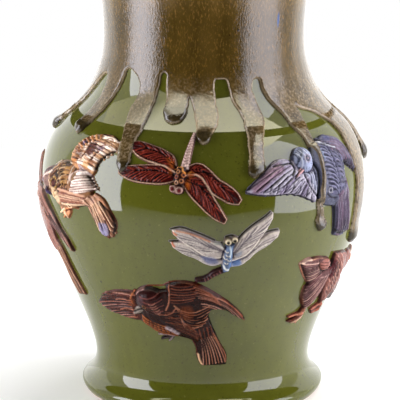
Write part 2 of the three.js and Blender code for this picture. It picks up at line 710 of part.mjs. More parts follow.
// Glaze parts round a figure or flows over it, so it is cut by each figure's swelled shape
const swelled = figures.map((figure) => figureSolid(figure, CLEARANCE));
const clearOfFigures = (glaze) => swelled.reduce((solid, figure) => solid.subtract(figure), glaze);
vase.add(piece('neck_glaze', toGeometry(largest(clearOfFigures(toSolid(collarGeometry())))), 'collar'));
runs.forEach((rows, index) => {
  const flow = clearOfFigures(runSolid(rows)).subtract(clearOfWall);
  const name = `glaze_run_${String(index + 1).padStart(2, '0')}`;
  vase.add(piece(name, toGeometry(largest(flow)), 'run'));
});

// The figures are pressed on in the order listed, each trimmed where it meets an earlier one
figures.forEach((figure, index) => {
  const trimmed = swelled.slice(0, index).reduce((solid, earlier) => solid.subtract(earlier), figureSolid(figure));
  vase.add(piece(figure.name, toGeometry(largest(trimmed.subtract(clearOfWall))), figure.colour));
});

export default vase;
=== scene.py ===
import math

import bpy
import numpy as np
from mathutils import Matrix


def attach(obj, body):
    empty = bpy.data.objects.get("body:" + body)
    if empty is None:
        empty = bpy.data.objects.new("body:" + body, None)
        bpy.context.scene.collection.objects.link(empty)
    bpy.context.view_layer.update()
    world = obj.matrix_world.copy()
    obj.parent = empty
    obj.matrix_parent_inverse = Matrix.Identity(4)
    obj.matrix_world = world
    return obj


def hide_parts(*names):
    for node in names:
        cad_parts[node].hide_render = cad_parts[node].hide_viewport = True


bl_info = {
    "name": "Glazed pottery vase",
    "version": (1, 0, 0),
    "blender": (4, 5, 0),
    "location": "View3D > Sidebar > Vase",
    "description": "Green stoneware vase with run glaze, sparrows and dragonflies",
    "category": "Add Mesh",
}

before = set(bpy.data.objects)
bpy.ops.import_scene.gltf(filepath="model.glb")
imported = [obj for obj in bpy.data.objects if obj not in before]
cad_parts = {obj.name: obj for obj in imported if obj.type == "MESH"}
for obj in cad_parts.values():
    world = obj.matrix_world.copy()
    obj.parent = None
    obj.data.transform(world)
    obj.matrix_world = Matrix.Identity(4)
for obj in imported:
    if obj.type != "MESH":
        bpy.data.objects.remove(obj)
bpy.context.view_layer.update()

MM = 0.001
BODY = "root"

# Height of the collar's foot, where the runs begin, in millimetres like all the sizes below
TOP_OF_RUNS = 237.0
# A skin ends where it is this deep in the wall, and its back lies a little deeper
HIDDEN_EDGE = -0.55
BACKING = -0.95
# Height of the floor's top and radius of the curve between wall and floor
FLOOR = 14.0
FILLET = 12.0
# Recess under the foot
RECESS = 5.0
# Height of the clay where there is none, how steeply a shape falls away outside its outline, and the
# depth in the wall below which it takes no colour
NO_CLAY = -3.0
FALL = 1.3
UNPAINTED = -0.6


def linear(code):
    """An sRGB hex colour as linear red, green, blue."""
    channels = np.array([int(code[i:i + 2], 16) for i in (0, 2, 4)]) / 255.0
    return np.where(channels <= 0.04045, channels / 12.92, ((channels + 0.055) / 1.055) ** 2.4)


def rgba(code):
    """The same with full alpha, as a node's colour socket takes it."""
    return (*linear(code), 1.0)


def length(name, description, millimetres):
    """A size that a user may change, kept in metres."""
    return bpy.props.FloatProperty(name=name, description=description, default=millimetres * MM,
                                   min=0.0, unit="LENGTH", precision=4)


def brightness(name, description, value):
    """A strength of light that a user may change."""
    return bpy.props.FloatProperty(name=name, description=description, default=value, min=0.0)


def colour(name, description, code):
    """A glaze colour that a user may change."""
    return bpy.props.FloatVectorProperty(name=name, description=description, default=rgba(code),
                                         size=4, min=0.0, max=1.0, subtype="COLOR")


class VaseSizes(bpy.types.PropertyGroup):
    """Sizes of the thrown body, of the glaze and of the mesh."""
    foot_radius: length("Foot radius", "Outside of the foot ring on the table", 79.5)
    foot_lip_radius: length("Foot lip radius", "Widest part of the foot ring", 84.9)
    foot_lip_height: length("Foot lip height", "Height of that widest part", 6.5)
    waist_radius: length("Waist radius", "Narrow part over the foot", 75.0)
    waist_height: length("Waist height", "Height of the narrow part", 25.0)
    belly_radius: length("Belly radius", "Widest part of the vase", 112.7)
    belly_height: length("Belly height", "Height of the widest part", 151.0)
    shoulder_radius: length("Shoulder radius", "Shoulder where the curve turns hollow", 92.4)
    shoulder_height: length("Shoulder height", "Height of that place", 196.4)
    neck_radius: length("Neck radius", "Narrowest part of the neck", 67.4)
    neck_height: length("Neck height", "Height of the narrowest part", 251.0)
    mouth_radius: length("Mouth radius", "Outside of the rolled lip", 81.0)
    height: length("Height", "Whole height", 325.0)
    lip_roll: length("Lip roll", "Radius of the rolled lip", 4.2)
    wall: length("Wall", "Thickness of the wall", 6.5)
    film: length("Glaze film", "Thickness of the run glaze", 1.8)
    cell: length("Figure grid", "Grid spacing of the figures' surface", 0.32)
    sides: bpy.props.IntProperty(name="Sides", description="Facets round the body", default=288, min=48)


class VaseColours(bpy.types.PropertyGroup):
    """Colours of the glazes and of the bare clay."""
    green: colour("Green glaze", "Olive green glaze of the body", "474912")
    neck: colour("Neck glaze", "Dark brown ash glaze", "4a3814")
    run: colour("Run glaze", "Run glaze over the shoulder", "5e4c2c")
    clay: colour("Clay", "Bare stoneware of the foot", "a8806a")


class VaseLight(bpy.types.PropertyGroup):
    """Strengths of the studio light."""
    sky: brightness("Sky", "Even light from all round", 0.34)
    side: brightness("Side lamps", "Power of the left lamp in watts", 34.0)
    top: brightness("Top lamp", "Power of the lamp overhead in watts", 13.0)
    card: brightness("Cards", "Brightness of what the glaze mirrors", 9.0)


# The wall, unrolled

def cubic(start, end, leave, arrive, steps):
    """A cubic curve between two stations (radius, height, lean in degrees). Each handle points along its
    station's lean and is a share of the distance between the two."""
    points = []
    for r, z, lean in (start, end):
        angle = math.radians(lean)
        points.append((np.array([r, z]), np.array([-math.sin(angle), math.cos(angle)])))
    (a, along_a), (d, along_d) = points
    span = np.linalg.norm(d - a)
    b = a + along_a * leave * span
    c = d - along_d * arrive * span
    t = np.linspace(0.0, 1.0, steps)[:, None]
    return (1 - t) ** 3 * a + 3 * (1 - t) ** 2 * t * b + 3 * (1 - t) * t ** 2 * c + t ** 3 * d


class Wall:
    """The pot's profile by its arc length s: up the outside, over the lip and down inside to the floor."""

    def __init__(self, sizes):
        size = {key: getattr(sizes, key) / MM for key in sizes.__annotations__ if key != "sides"}
        roll = size["lip_roll"]
        self.lip = np.array([size["mouth_radius"] - roll, size["height"] - roll])
        start = math.radians(-60.0)
        mouth = self.lip + roll * np.array([math.cos(start), math.sin(start)])
        stations = [
            (size["foot_radius"], 0.0, -90.0),
            (size["foot_lip_radius"], size["foot_lip_height"], 0.0),
            (size["waist_radius"], size["waist_height"], 0.0),
            (size["belly_radius"], size["belly_height"], 0.0),
            (size["shoulder_radius"], size["shoulder_height"], 51.0),
            (size["neck_radius"], size["neck_height"], 0.0),
            (mouth[0], mouth[1], -20.0),
        ]
        handles = [(0.45, 0.2), (0.22, 0.65), (0.19, 0.345), (0.38, 0.335), (0.445, 0.32), (0.46, 0.25)]
        stretches = zip(stations, stations[1:], handles)
        curve_steps, lip_steps = 160, 90
        curves = [cubic(low, high, *handle, curve_steps)[:-1] for low, high, handle in stretches]
        arc = np.linspace(start, math.pi, lip_steps)
        curves.append(self.lip + roll * np.stack([np.cos(arc), np.sin(arc)], 1))
        outside = np.concatenate(curves[:-1])
        tangent = np.gradient(outside, axis=0)
        tangent /= np.linalg.norm(tangent, axis=1, keepdims=True)
        inside = outside - size["wall"] * np.stack([tangent[:, 1], -tangent[:, 0]], 1)
        keep = (inside[:, 1] < self.lip[1] - roll) & (inside[:, 1] > FLOOR + FILLET)
        inside = inside[keep][::-1]
        self.path = np.concatenate(curves + [inside])
        self.outside_end = len(outside)
        step = np.hypot(*np.diff(self.path, axis=0).T)
        self.s = np.concatenate([[0.0], np.cumsum(step)])
        tangent = np.gradient(self.path, self.s, axis=0)
        tangent /= np.linalg.norm(tangent, axis=1, keepdims=True)
        self.normal = np.stack([tangent[:, 1], -tangent[:, 0]], 1)
        self.size = size

    def s_at(self, z):
        """Arc length at a height on the outside."""
        end = self.outside_end
        return np.interp(z, self.path[:end, 1], self.s[:end])

    def at(self, s):
        """Radius, height and outward normal (radial, upward) at an arc length."""
        return [np.interp(s, self.s, column) for column in (*self.path.T, *self.normal.T)]

    def place(self, degrees, s, lift):
        """Points in metres, lifted off the wall at an angle from the front and an arc length."""
        r, z, normal_r, normal_z = self.at(s)
        radius = r + normal_r * lift
        turn = np.radians(degrees)
        return np.stack([radius * np.sin(turn), -radius * np.cos(turn), z + normal_z * lift], -1) * MM


def ripple(x, y, scale, seed):
    """Smooth unevenness between about -1 and 1: a sum of five slanting sine waves over x and y."""
    rng = np.random.default_rng(seed)
    total = np.zeros(np.broadcast(x, y).shape)
    for _ in range(5):
        heading = rng.uniform(0.0, math.tau)
        wave = scale * rng.uniform(0.6, 1.7)
        along = x * math.cos(heading) + y * math.sin(heading)
        total += np.sin(along * math.tau / wave + rng.uniform(0, math.tau))
    return total / 3.0


def blurred(field, cells):
    """A field on a grid, smoothed with a bell curve of a width in cells, down the rows and then across."""
    reach = max(1, int(math.ceil(cells * 2.5)))
    weights = np.exp(-0.5 * (np.arange(-reach, reach + 1) / cells) ** 2)
    weights /= weights.sum()
    for axis in (0, 1):
        padding = [(0, 0)] * field.ndim
        padding[axis] = (reach, reach)
        padded = np.pad(field, padding, mode="edge")
        count = field.shape[axis]
        parts = [np.take(padded, range(i, i + count), axis=axis) * w for i, w in enumerate(weights)]
        field = sum(parts)
    return field


def dome(x):
    """A quarter of an ellipse: steep at 0 and level from 1 on."""
    return np.sqrt(1.0 - (1.0 - np.clip(x, 0.0, 1.0)) ** 2)


def spline(points, count):
    """A smooth curve through points: a cubic through each pair, its slopes taken from the neighbours."""
    p = np.asarray(points, float)
    if len(p) == 2:
        return p[0] + (p[1] - p[0]) * np.linspace(0, 1, count)[:, None]
    step = np.maximum(np.linalg.norm(np.diff(p, axis=0), axis=1), 1e-6)
    knot = np.concatenate([[0.0], np.cumsum(step)])
    slope = np.gradient(p, knot, axis=0)
    at = np.linspace(0.0, knot[-1], count)
    i = np.clip(np.searchsorted(knot, at, side="right") - 1, 0, len(p) - 2)
    h = (knot[i + 1] - knot[i])[:, None]
    t = (at - knot[i])[:, None] / h
    return ((1 + 2 * t) * (1 - t) ** 2 * p[i] + t * (1 - t) ** 2 * h * slope[i]
            + t ** 2 * (3 - 2 * t) * p[i + 1] + t ** 2 * (t - 1) * h * slope[i + 1])


def to_path(u, v, path):
    """Distance from each point to a path, how far along the path that is, and on which side it lies."""
    best = np.full(u.shape, 1e9)
    along = np.zeros(u.shape)
    side = np.ones(u.shape)
    last = len(path) - 1
    for i in range(last):
        (au, av), (bu, bv) = path[i], path[i + 1]
        du, dv = bu - au, bv - av
        share = np.clip(((u - au) * du + (v - av) * dv) / max(du * du + dv * dv, 1e-12), 0.0, 1.0)
        gap = np.hypot(u - au - share * du, v - av - share * dv)
        nearer = gap < best
        best = np.where(nearer, gap, best)
        along = np.where(nearer, (i + share) / last, along)
        side = np.where(nearer, np.sign(du * (v - av) - dv * (u - au)), side)
    return best, along, side


def within(u, v, loop):
    """True inside a closed loop: a ray to the right crosses it an odd number of times."""
    inside = np.zeros(u.shape, bool)
    for (au, av), (bu, bv) in zip(loop, np.roll(loop, -1, axis=0)):
        if av == bv:
            continue
        crosses = (av > v) != (bv > v)
        inside ^= crosses & (u < au + (v - av) * (bu - au) / (bv - av))
    return inside


class Relief:
    """Clay of one figure on the flat: its height in millimetres and its colour over a grid of u and v."""

    def __init__(self, u, v, base, fine=True):
        self.u, self.v, self.fine = u, v, fine
        self.height = np.full(u.shape, NO_CLAY)
        self.rgb = np.empty(u.shape + (3,))
        self.rgb[:] = linear(base)
        self.shade = 0

    def window(self, path, reach):
        """The part of the grid within reach of a path."""
        low, high = np.min(path, axis=0) - reach, np.max(path, axis=0) + reach
        near = (self.u >= low[0]) & (self.u <= high[0]) & (self.v >= low[1]) & (self.v <= high[1])
        rows, columns = np.nonzero(near)
        if not len(rows):
            return None
        return slice(rows.min(), rows.max() + 1), slice(columns.min(), columns.max() + 1)

    def merge(self, part, height, code, tone=1.0):
        """Keeps the higher of the old and the new surface, with its colour."""
        over = height > self.height[part]
        self.height[part] = np.where(over, height, self.height[part])
        if code:
            paint = over & (height > UNPAINTED)
            self.rgb[part][paint] = linear(code) * tone

    def pad(self, first, second, rise, code=None, edge=1.5, roll=1.1):
        """A crowned pad between two edges: a quarter ellipse at the rim and a wider one up to the crown."""
        loop = np.concatenate([spline(first, 24), spline(second, 24)[::-1]])
        part = self.window(loop, 3.0)
        if part is None:
            return
        u, v = self.u[part], self.v[part]
        gap, _, _ = to_path(u, v, np.concatenate([loop, loop[:1]]))
        inside = within(u, v, loop)
        widest = max(gap[inside].max(), 1.0) if inside.any() else 1.0
        height = edge * dome(gap / roll) + (rise - edge) * dome(gap / widest)
        self.merge(part, np.where(inside, height, -FALL * gap), code)

    def knob(self, centre, half, rise, code=None, flat=1.0):
        """A dome over an ellipse, steeper where flat is small."""
        (cu, cv), (hu, hv) = centre, half
        part = self.window(np.array([[cu - hu, cv - hv], [cu + hu, cv + hv]]), 3.0)
        if part is None:
            return
        reach = np.hypot((self.u[part] - cu) / hu, (self.v[part] - cv) / hv)
        inside = rise * np.maximum(0.0, 1.0 - reach ** 2) ** (0.5 * flat)
        self.merge(part, np.where(reach < 1.0, inside, -FALL * (reach - 1.0) * min(hu, hv)), code)

    def feather(self, path, width, code, lift=0.3, crown=0.6, tilt=0.25, tone=1.0):
        """A barb over what is there: a rounded ridge along a path, tilted like a shingle, round at its
        tip. It starts from the surface as it was before its fan."""
        part = self.window(path, width + 2.0)
        if part is None:
            return
        gap, along, side = to_path(self.u[part], self.v[part], path)
        half = width * (0.72 + 0.35 * np.sin(np.pi * np.minimum(along * 0.8 + 0.1, 1.0)))
        share = gap / half
        below = np.maximum(self.under[part], 0.9)
        height = below + lift + crown * np.sqrt(np.maximum(0.0, 1.0 - share ** 2)) + tilt * side * share
        inside = share < 1.0
        self.height[part] = np.where(inside, height, np.maximum(self.height[part], -FALL * (gap - half)))
        if code:
            self.rgb[part][inside] = linear(code) * tone

    def side_by_side(self, roots, tips, count, bow):
        """Paths next to each other, from a curve of roots to a curve of tips, bowed to one side."""
        t = np.linspace(0.0, 1.0, 9)[:, None]
        paths = []
        for a, b in zip(spline(roots, count), spline(tips, count)):
            across = np.array([-(b - a)[1], (b - a)[0]])
            paths.append(a + (b - a) * t + across * bow * 4 * t * (1 - t))
        return paths

    def fan(self, roots, tips, count, width, codes, bow=0.0, lift=0.3, crown=0.6, tilt=0.25):
        """Feathers side by side."""
        if not self.fine:
            return
        self.under = blurred(self.height, 3.0)
        codes = codes.split()
        for i, path in enumerate(self.side_by_side(roots, tips, count, bow)):
            tone = 1.0 + 0.12 * math.sin(i * 2.4 + self.shade)
            self.feather(path, width, codes[i % len(codes)], lift, crown, tilt, tone)
        self.shade += 1

    def hatch(self, roots, tips, count, width, rise, codes, bow=0.0):
        """Fine lines side by side, raised or carved."""
        if not self.fine:
            return
        codes = codes.split()
        for i, path in enumerate(self.side_by_side(roots, tips, count, bow)):
            self.line(path, width, rise, codes[i % len(codes)])

    def line(self, points, width, rise, code=None):
        """A raised line, or a carved one where rise is negative, with a bell-shaped section."""
        if not self.fine:
            return
        path = points if len(points) > 10 else spline(points, 17)
        part = self.window(path, width * 3.0)
        if part is None:
            return
        gap, _, _ = to_path(self.u[part], self.v[part], path)
        bell = np.exp(-(gap / width) ** 2)
        there = self.height[part]
        wider = np.maximum(there, -0.6 * gap + 0.6 * width)
        self.height[part] = np.where(bell > 0.02, wider + rise * bell, there)
        if code:
            self.stain(part, np.clip((bell - 0.4) * 3.0, 0.0, 1.0), code)

    def stain(self, part, weight, code):
        """Mixes a colour in by a weight."""
        self.rgb[part] += (linear(code) - self.rgb[part]) * weight[..., None]

    def patch(self, points, code, soft=1.0, strength=1.0):
        """A patch of colour inside a loop, faded over its edge."""
        if not self.fine:
            return
        loop = spline(list(points) + [points[0]], 6 * len(points))
        part = self.window(loop, soft)
        if part is None:
            return
        u, v = self.u[part], self.v[part]
        gap, _, _ = to_path(u, v, loop)
        signed = np.where(within(u, v, loop), gap, -gap)
        self.stain(part, strength * np.clip(0.5 + signed / soft, 0.0, 1.0), code)

    def ring(self, centre, radius, width, rise, code=None):
        """A raised ring."""
        angle = np.linspace(0.0, math.tau, 17)
        points = np.stack([centre[0] + radius * np.cos(angle), centre[1] + radius * np.sin(angle)], 1)
        self.line(points, width, rise, code)


# The figures, drawn in millimetres from the anchor: u to the right, v up the wall

def gliding_sparrow(clay):
    """Sparrow gliding to the left, both wings spread, seen from above and the side."""
    clay.pad([(-22, 6), (-36.5, 7.4), (-45.5, 5.8), (-58, 0.4), (-64, -5)],
             [(-20, -14), (-34.6, -15.7), (-42.4, -14), (-54.9, -12), (-64, -7)], 3.0, "522a24")
    clay.pad([(-26, 4), (-12, 12), (2, 12), (14, 2), (20, -16)],
             [(-28, -15), (-15, -23.4), (-4, -25), (4, -27.5), (10, -30)], 6.0, "2c110b")
    clay.pad([(4, -24), (8, -31), (9.5, -38.2), (9.2, -44.4), (11.5, -50)],
             [(19, -14), (21, -20), (25, -32.9), (28.6, -42), (28, -49.5)], 2.6, "2a0e08")
    clay.pad([(-9, 16), (1.2, 19.4), (9.8, 18.8), (17.4, 14.6), (25.7, 8.3), (34, 0.8), (41, -8.9),
              (42.5, -12)],
             [(-9, -2), (-2, -9), (7, -13), (15.9, -11), (20.1, -3.3), (28, -2.6), (36, -9), (42, -13)],
             4.4, "2a0f09")
    clay.hatch([(-33, 6), (-33, -4), (-31, -12)],
               [(-57, 2.6), (-62.6, -2), (-62.8, -7.6), (-56, -11.6), (-42, -14.6)], 10, 0.38, 0.7,
               "cca296 a07468", bow=-0.05)
    clay.hatch([(-34, 4), (-33, -10)], [(-60, 0), (-63, -5), (-60, -10.4), (-49, -13.4)], 9, 0.42, -0.6,
               "2a1110", bow=-0.05)
    clay.hatch([(-31, 6), (-32, -2), (-30, -12)], [(-42, 7), (-46, 1), (-43, -7), (-37, -13.5)], 7, 0.42,
               0.5, "c88c74 6a3a30", bow=-0.13)
    clay.line([(-34, 8), (-46, 6.6), (-58, 1), (-63.4, -5), (-58, -11), (-44, -14.4), (-34, -15.6)], 0.5,
              -0.5, "240a08")
    clay.line([(-31.5, 9), (-33.4, 4), (-32, 0)], 0.9, 0.8, "bb7c56")
    clay.patch([(-35, 4), (-32, 3), (-32, -3), (-35, -2)], "8f5230", 1.5, 0.8)
    clay.line([(-60, 0), (-50, 5.2), (-40, 7.5), (-33, 8)], 0.5, 0.4, "a0706a")
    clay.hatch([(12, -27), (20, -24)], [(12.6, -48.6), (27, -46.6)], 8, 0.42, 0.8, "dcb09c b88870",
               bow=0.03)
    clay.hatch([(11.6, -27), (19.4, -24)], [(13.9, -49), (26, -48)], 7, 0.42, -0.6, "1a0705", bow=0.03)
    clay.hatch([(9, -17), (19, -15)], [(10, -27), (20, -25)], 5, 0.42, 0.5, "6a3a2c 8c5240")
    clay.line([(20.4, -22), (24, -31), (27.4, -40), (28, -46.4)], 0.5, 0.4, "a06846")
    clay.line([(5.6, -28), (8.4, -35), (9, -40)], 0.5, 0.4, "7a3420")
    clay.line([(9.4, -40.6), (10.1, -44), (11.2, -47.6)], 1.3, 0.8, "f6dcb8")
    clay.hatch([(8, 14), (13, 8), (15, 2)], [(41, -9), (41.6, -11.6), (34, -6.4), (25, -3)], 7, 0.42, 0.8,
               "cc9c8c 8a5444 d8b0a4", bow=0.11)
    clay.hatch([(9, 12.6), (14, 5)], [(41.2, -10.6), (30, -4.6)], 6, 0.42, -0.6, "1a0705", bow=0.11)
    clay.hatch([(-3, 3), (0, -4), (2, -11)], [(19.6, 3), (19, -5), (15.6, -12), (8, -16)], 9, 0.42, 0.8,
               "c89880 9c6850", bow=-0.24)
    clay.hatch([(-2, 0), (2, -8)], [(19, -1), (13, -13)], 7, 0.42, -0.6, "1c0a07", bow=-0.24)
    clay.patch([(1, 2), (7, 2), (8, -6), (3, -9), (0, -4)], "8f4c1e", 2.4, 0.45)
    clay.patch([(-5, 18), (10, 17), (12, 9), (-4, 8)], "260e0b", 2.4, 0.8)
    clay.hatch([(-5, 17), (-5, 11), (-5, 5)], [(9, 18), (12, 13), (9, 7)], 7, 0.42, 0.5, "6a3a2c 945c48",
               bow=-0.05)
    clay.hatch([(-8, -5), (-5, -12), (-2, -18)], [(8, -15), (11, -21), (11, -27)], 8, 0.42, 0.5,
               "74442e 542a1c", bow=0.06)
    clay.hatch([(10, 17), (15, 9)], [(24, 8), (27, 2)], 5, 0.42, 0.5, "a06a54", bow=0.05)
    clay.line([(-31, 8.6), (-22, 14), (-9.4, 16), (-7, 18), (2, 19.6), (10, 18.6), (17, 15), (25, 9),
               (33, 1.5), (41, -9.5)], 0.5, 0.4, "9a5636")
    clay.line([(21, -3), (28, -2.8), (35.4, -8.6), (41.4, -12.6)], 0.5, 0.5, "c49478")
    clay.patch([(-26, -9), (-16, -14), (-8, -16), (-2, -24), (-14, -23), (-26, -15)], "9a5a2c", 2.0, 0.7)
    clay.hatch([(-26, -9), (-26, -12), (-24, -15)], [(-9, -15), (-5, -20), (-3, -24.4)], 7, 0.4, 0.6,
               "c07c48 5c2c16 ac6c3c 6a3418", bow=-0.04)
    clay.hatch([(-22, -9), (-17, -13), (-11, -15)], [(-21, -16), (-14, -20), (-7, -22)], 6, 0.36, -0.5,
               "2c120a", bow=0.16)
    clay.line([(-24, -15.6), (-14, -22.6), (-4, -25)], 0.5, 0.4, "a86a3c")
    clay.knob((-19.5, 3.5), (11.5, 9.6), 7.6, "331718")
    clay.hatch([(-26, 8), (-22, 3), (-22, -4)], [(-13, 11), (-10, 4), (-11, -4)], 8, 0.42, 0.4,
               "84504c 42201f", bow=-0.12)
    clay.hatch([(-19, 4), (-16, -4)], [(-15, 5), (-12, -3)], 5, 0.42, 0.5, "b08478", bow=-0.2)
    clay.hatch([(-9, -3), (-9, -11)], [(2, -1), (1, -12)], 5, 0.42, 0.5, "7a4c3a 40221a")
    clay.line([(-6.5, 17.5), (-6, 10), (-6.6, 4), (-8.5, -1)], 0.5, 0.8, "b88068")
    clay.line([(-2, 1), (-5, -3), (-9, -4.6), (-13, -5)], 0.45, 0.6, "a06c58")
    # Painted highlight: a pale pink stroke on the head where the lamps glint
    clay.line([(-30, 7.6), (-27, 11.2), (-24, 12.6)], 0.9, 0.8, "dcc0c4")
    clay.patch([(-28, 6), (-24, 8), (-23, 3), (-26, 1)], "5c4450", 2.0, 0.6)
    clay.pad([(-25, 0), (-30, -2), (-33, -7)], [(-24, -5), (-27, -8), (-32.5, -10)], 4.6, "989a98",
             edge=1.2)
    clay.line([(-25.5, -3.4), (-29, -4.8), (-31.5, -7)], 0.7, -1.2, "101010")
    clay.ring((-22.5, 1), 1.3, 0.42, 0.6, "8a6038")
    clay.ring((-22.5, 1), 0.2, 0.6, -0.2, "0a0505")
    clay.line([(-8.3, -15.8), (-5.2, -17.8), (-2.4, -20.6)], 2.0, 1.2, "b0aebe")
    clay.fan([(-5, -24), (-6, -26)], [(-16, -24.5), (-15, -28), (-9, -29.5)], 3, 0.9, "8f8c92 2b2322",
             lift=1.2)


def raised_wing_sparrow(clay):
    """Sparrow with one wing raised and the other folded down, head to the left."""
    clay.pad([(-17, 8), (-18.3, 16.5), (-14.2, 23.9), (-7, 29.8), (3, 33), (12, 32.5), (19, 28.5)],
             [(2, 0), (8, 6), (9, 12), (12, 17), (16, 20), (19, 24), (20.5, 27)], 3.4, "b98c64")
    clay.pad([(-42, -2), (-33, 5.4), (-24, 9), (-14, 8), (-2, 2), (8, -6)],
             [(-42, -9), (-32, -17), (-24, -22), (-12, -21), (0, -17.5), (8, -16)], 6.2, "8a6446")
    clay.pad([(3, -14), (7, -17.4), (9.5, -26), (12.9, -33.6), (16.5, -36.5)],
             [(10, -7), (17, -9.8), (21.4, -15.4), (27, -26), (23, -35.5)], 2.8, "a87c62")
    clay.pad([(-14, 2), (-8, 5), (-1.5, 6.5), (1, 6)], [(-11, -9.5), (-1, -8.5), (6, -6.5), (10, -4.5)],
             6.6, "d0bcb8")
    clay.fan([(-12, 11), (-9, 20), (-5, 28)], [(7, 7.6), (9, 13), (14, 17.6), (18.6, 22), (19.4, 28)], 9,
             1.25, "f4e8e0 ccb09a f4eae4 bc9878", bow=0.05, crown=0.6)
    clay.hatch([(-8, 11), (-6, 20), (-2, 28)], [(7, 9), (10, 15), (15, 19.4), (18.4, 24.4)], 9, 0.34, -0.6,
               "3c1c0e 7c5444", bow=0.05)
    clay.hatch([(-6, 14), (-2, 26)], [(2, 10), (12, 24)], 9, 0.32, 0.4, "ecdcd4 c08a5c 8a5636", bow=0.08)
    clay.hatch([(-5, 12), (2, 30)], [(-2, 17), (8, 31)], 9, 0.42, -0.5, "5c2c14 8a5a38", bow=0.2)
    clay.hatch([(3, 10), (10, 28)], [(5, 15), (15, 28)], 7, 0.42, -0.5, "6c3c22 4a2414", bow=0.2)
    clay.line([(-17.6, 9), (-18.8, 16), (-14.8, 24.4), (-7.6, 30.2), (2, 33.4), (11, 33)], 0.5, -0.3,
              "54341c")
    clay.fan([(-15, 11), (-16, 17), (-12.6, 23.4), (-6, 28), (3, 31)],
             [(-9, 11), (-8, 16), (-6, 21), (-1, 25.4), (5, 28)], 9, 1.1, "a8744a b88a5c 8a5a32",
             crown=0.8)
    clay.hatch([(-16, 12.4), (-16, 18), (-12, 24.4), (-5, 29)], [(-8, 12), (-7, 17), (-5, 22), (0, 26)], 8,
               0.4, -0.6, "4a240c 6e3c16")
    clay.patch([(-2, 23.6), (4, 24.6), (5, 19), (1, 15.6), (-3, 18)], "451a0c", 1.2)
    clay.patch([(-12, 17), (-6, 18), (-5, 14), (-11, 12)], "5a3018", 1.4, 0.7)
    clay.patch([(1, 13.6), (6.4, 12.6), (6, 9.6), (2, 10)], "7a4420", 1.2, 0.8)
    clay.patch([(-2, 12), (3, 11), (2, 7), (-2, 8)], "d09a60", 1.2, 0.8)
    clay.patch([(-10, 23.6), (-5.4, 24.8), (-5, 22.8), (-10, 22)], "5a4a78", 1.0, 0.8)
    clay.patch([(5, 22), (11, 23), (11, 20.6), (6, 20)], "6c5a74", 1.0, 0.7)
    clay.line([(-17, 8), (-18, 16), (-14.4, 23.6), (-8, 29)], 0.5, 0.5, "cfc2a4")
    clay.line([(-5, 30.6), (1, 32), (10, 31.6)], 0.8, -0.4, "541e10")
    clay.line([(13, 31.6), (18.6, 28.6)], 0.6, -0.4, "43301c")
    clay.line([(8, 8), (9.5, 13), (13, 17.6), (18.6, 21.6)], 0.8, -0.8, "2c2c18")
    clay.fan([(8, -10), (3, -15)], [(25.4, -25), (24, -33), (19, -36), (12.6, -32)], 7, 1.6,
             "a88470 5c3828 bc9a88", bow=0.03, crown=0.6)
    clay.patch([(8, -15), (15, -14), (18, -20), (10, -22)], "d8a482", 2.0, 0.6)
    clay.patch([(10, -22), (25, -19), (26, -30), (20, -36), (12, -33)], "7a4a38", 4.0, 0.6)
    clay.hatch([(15, -12), (7, -18)], [(26, -27), (23.6, -32), (17, -35.6), (12, -31)], 8, 0.45, -0.7,
               "1e0e0c 40221a", bow=0.03)
    clay.hatch([(14, -12), (7, -16)], [(25.6, -29), (14, -34)], 5, 0.34, 0.5, "e8cdb4", bow=0.03)
    clay.patch([(13.6, -26), (19.6, -26), (20, -34), (15, -35)], "8d8fb8", 1.2, 0.9)
    clay.line([(9.6, -24), (11, -30), (13.6, -35)], 0.8, -0.5, "140c12")
    clay.line([(19.4, -24), (21.6, -30), (20.6, -35)], 0.7, -0.5, "140c12")
    clay.line([(16, -27), (16.6, -34)], 0.42, -0.4, "4c4a70")
    clay.line([(16, -13), (22, -18), (26, -26), (24, -33)], 0.8, -0.6, "241210")
    clay.line([(4, -17.6), (9, -26), (13, -34)], 0.5, -0.4, "4a2a1c")
    clay.fan([(-40, 1), (-32, -7), (-26, -16)], [(-28, 8), (-20, 1), (-14, -8)], 10, 1.2,
             "7a5840 482818 a08468 5c3a22", crown=0.5)
    clay.hatch([(-34, 2), (-28, -6), (-24, -14)], [(-17, 9), (-13, 2), (-12, -8)], 7, 0.5, -0.9,
               "281708 452812", bow=0.1)
    clay.patch([(-24, 9), (-14, 9), (-14, 6.6), (-23, 5)], "2e1a0c", 1.2)
    clay.patch([(-25, 3.4), (-18, 2.4), (-19, -1), (-26, -1)], "251505", 1.2)
    clay.patch([(-18, 6), (-13.6, 6), (-14, 1), (-17, 1)], "a07a44", 1.0, 0.8)
    clay.patch([(-18, -1), (-13, -1), (-13, -5), (-17, -6)], "94703c", 1.2, 0.8)
    clay.ring((-26, -6), 3.6, 0.6, 0.7, "a88a4c")
    clay.patch([(-29, -4.4), (-23, -4.4), (-23.6, -8.6), (-28.6, -8.6)], "4c1f1a", 1.2)
    clay.line([(-32.6, -4), (-31, -8.6), (-26, -10.6), (-21, -10)], 0.6, -0.7, "2a1a0c")
    clay.patch([(-34, -10), (-23, -10), (-20, -16), (-24, -19), (-32, -17)], "dcc4a4", 1.6, 0.8)
    clay.patch([(-30, -12), (-26, -12), (-26, -16), (-29.6, -16)], "a88a4c", 1.4, 0.8)
    clay.line([(-11.6, 7), (-11, 2), (-11, -4)], 0.5, 0.4, "b8b0a4")
    clay.hatch([(-26, 5), (-17, -7)], [(-21, 9), (-13, -2)], 9, 0.42, 0.5, "c0a684 6e4a22 a0845c",
               bow=0.25)
    clay.hatch([(-31, -3), (-15, -13)], [(-27, -2), (-12, -6)], 8, 0.42, -0.6, "2c160a 4c2c16", bow=-0.25)
    clay.line([(-34, 4.6), (-27, 8.6), (-20, 9.6), (-14, 8.4)], 0.5, 0.5, "d8ccb8")
    clay.line([(-39, 1.6), (-34, -2), (-33, -7), (-34, -12), (-30, -16.4)], 0.5, 0.6, "dcc0a4")
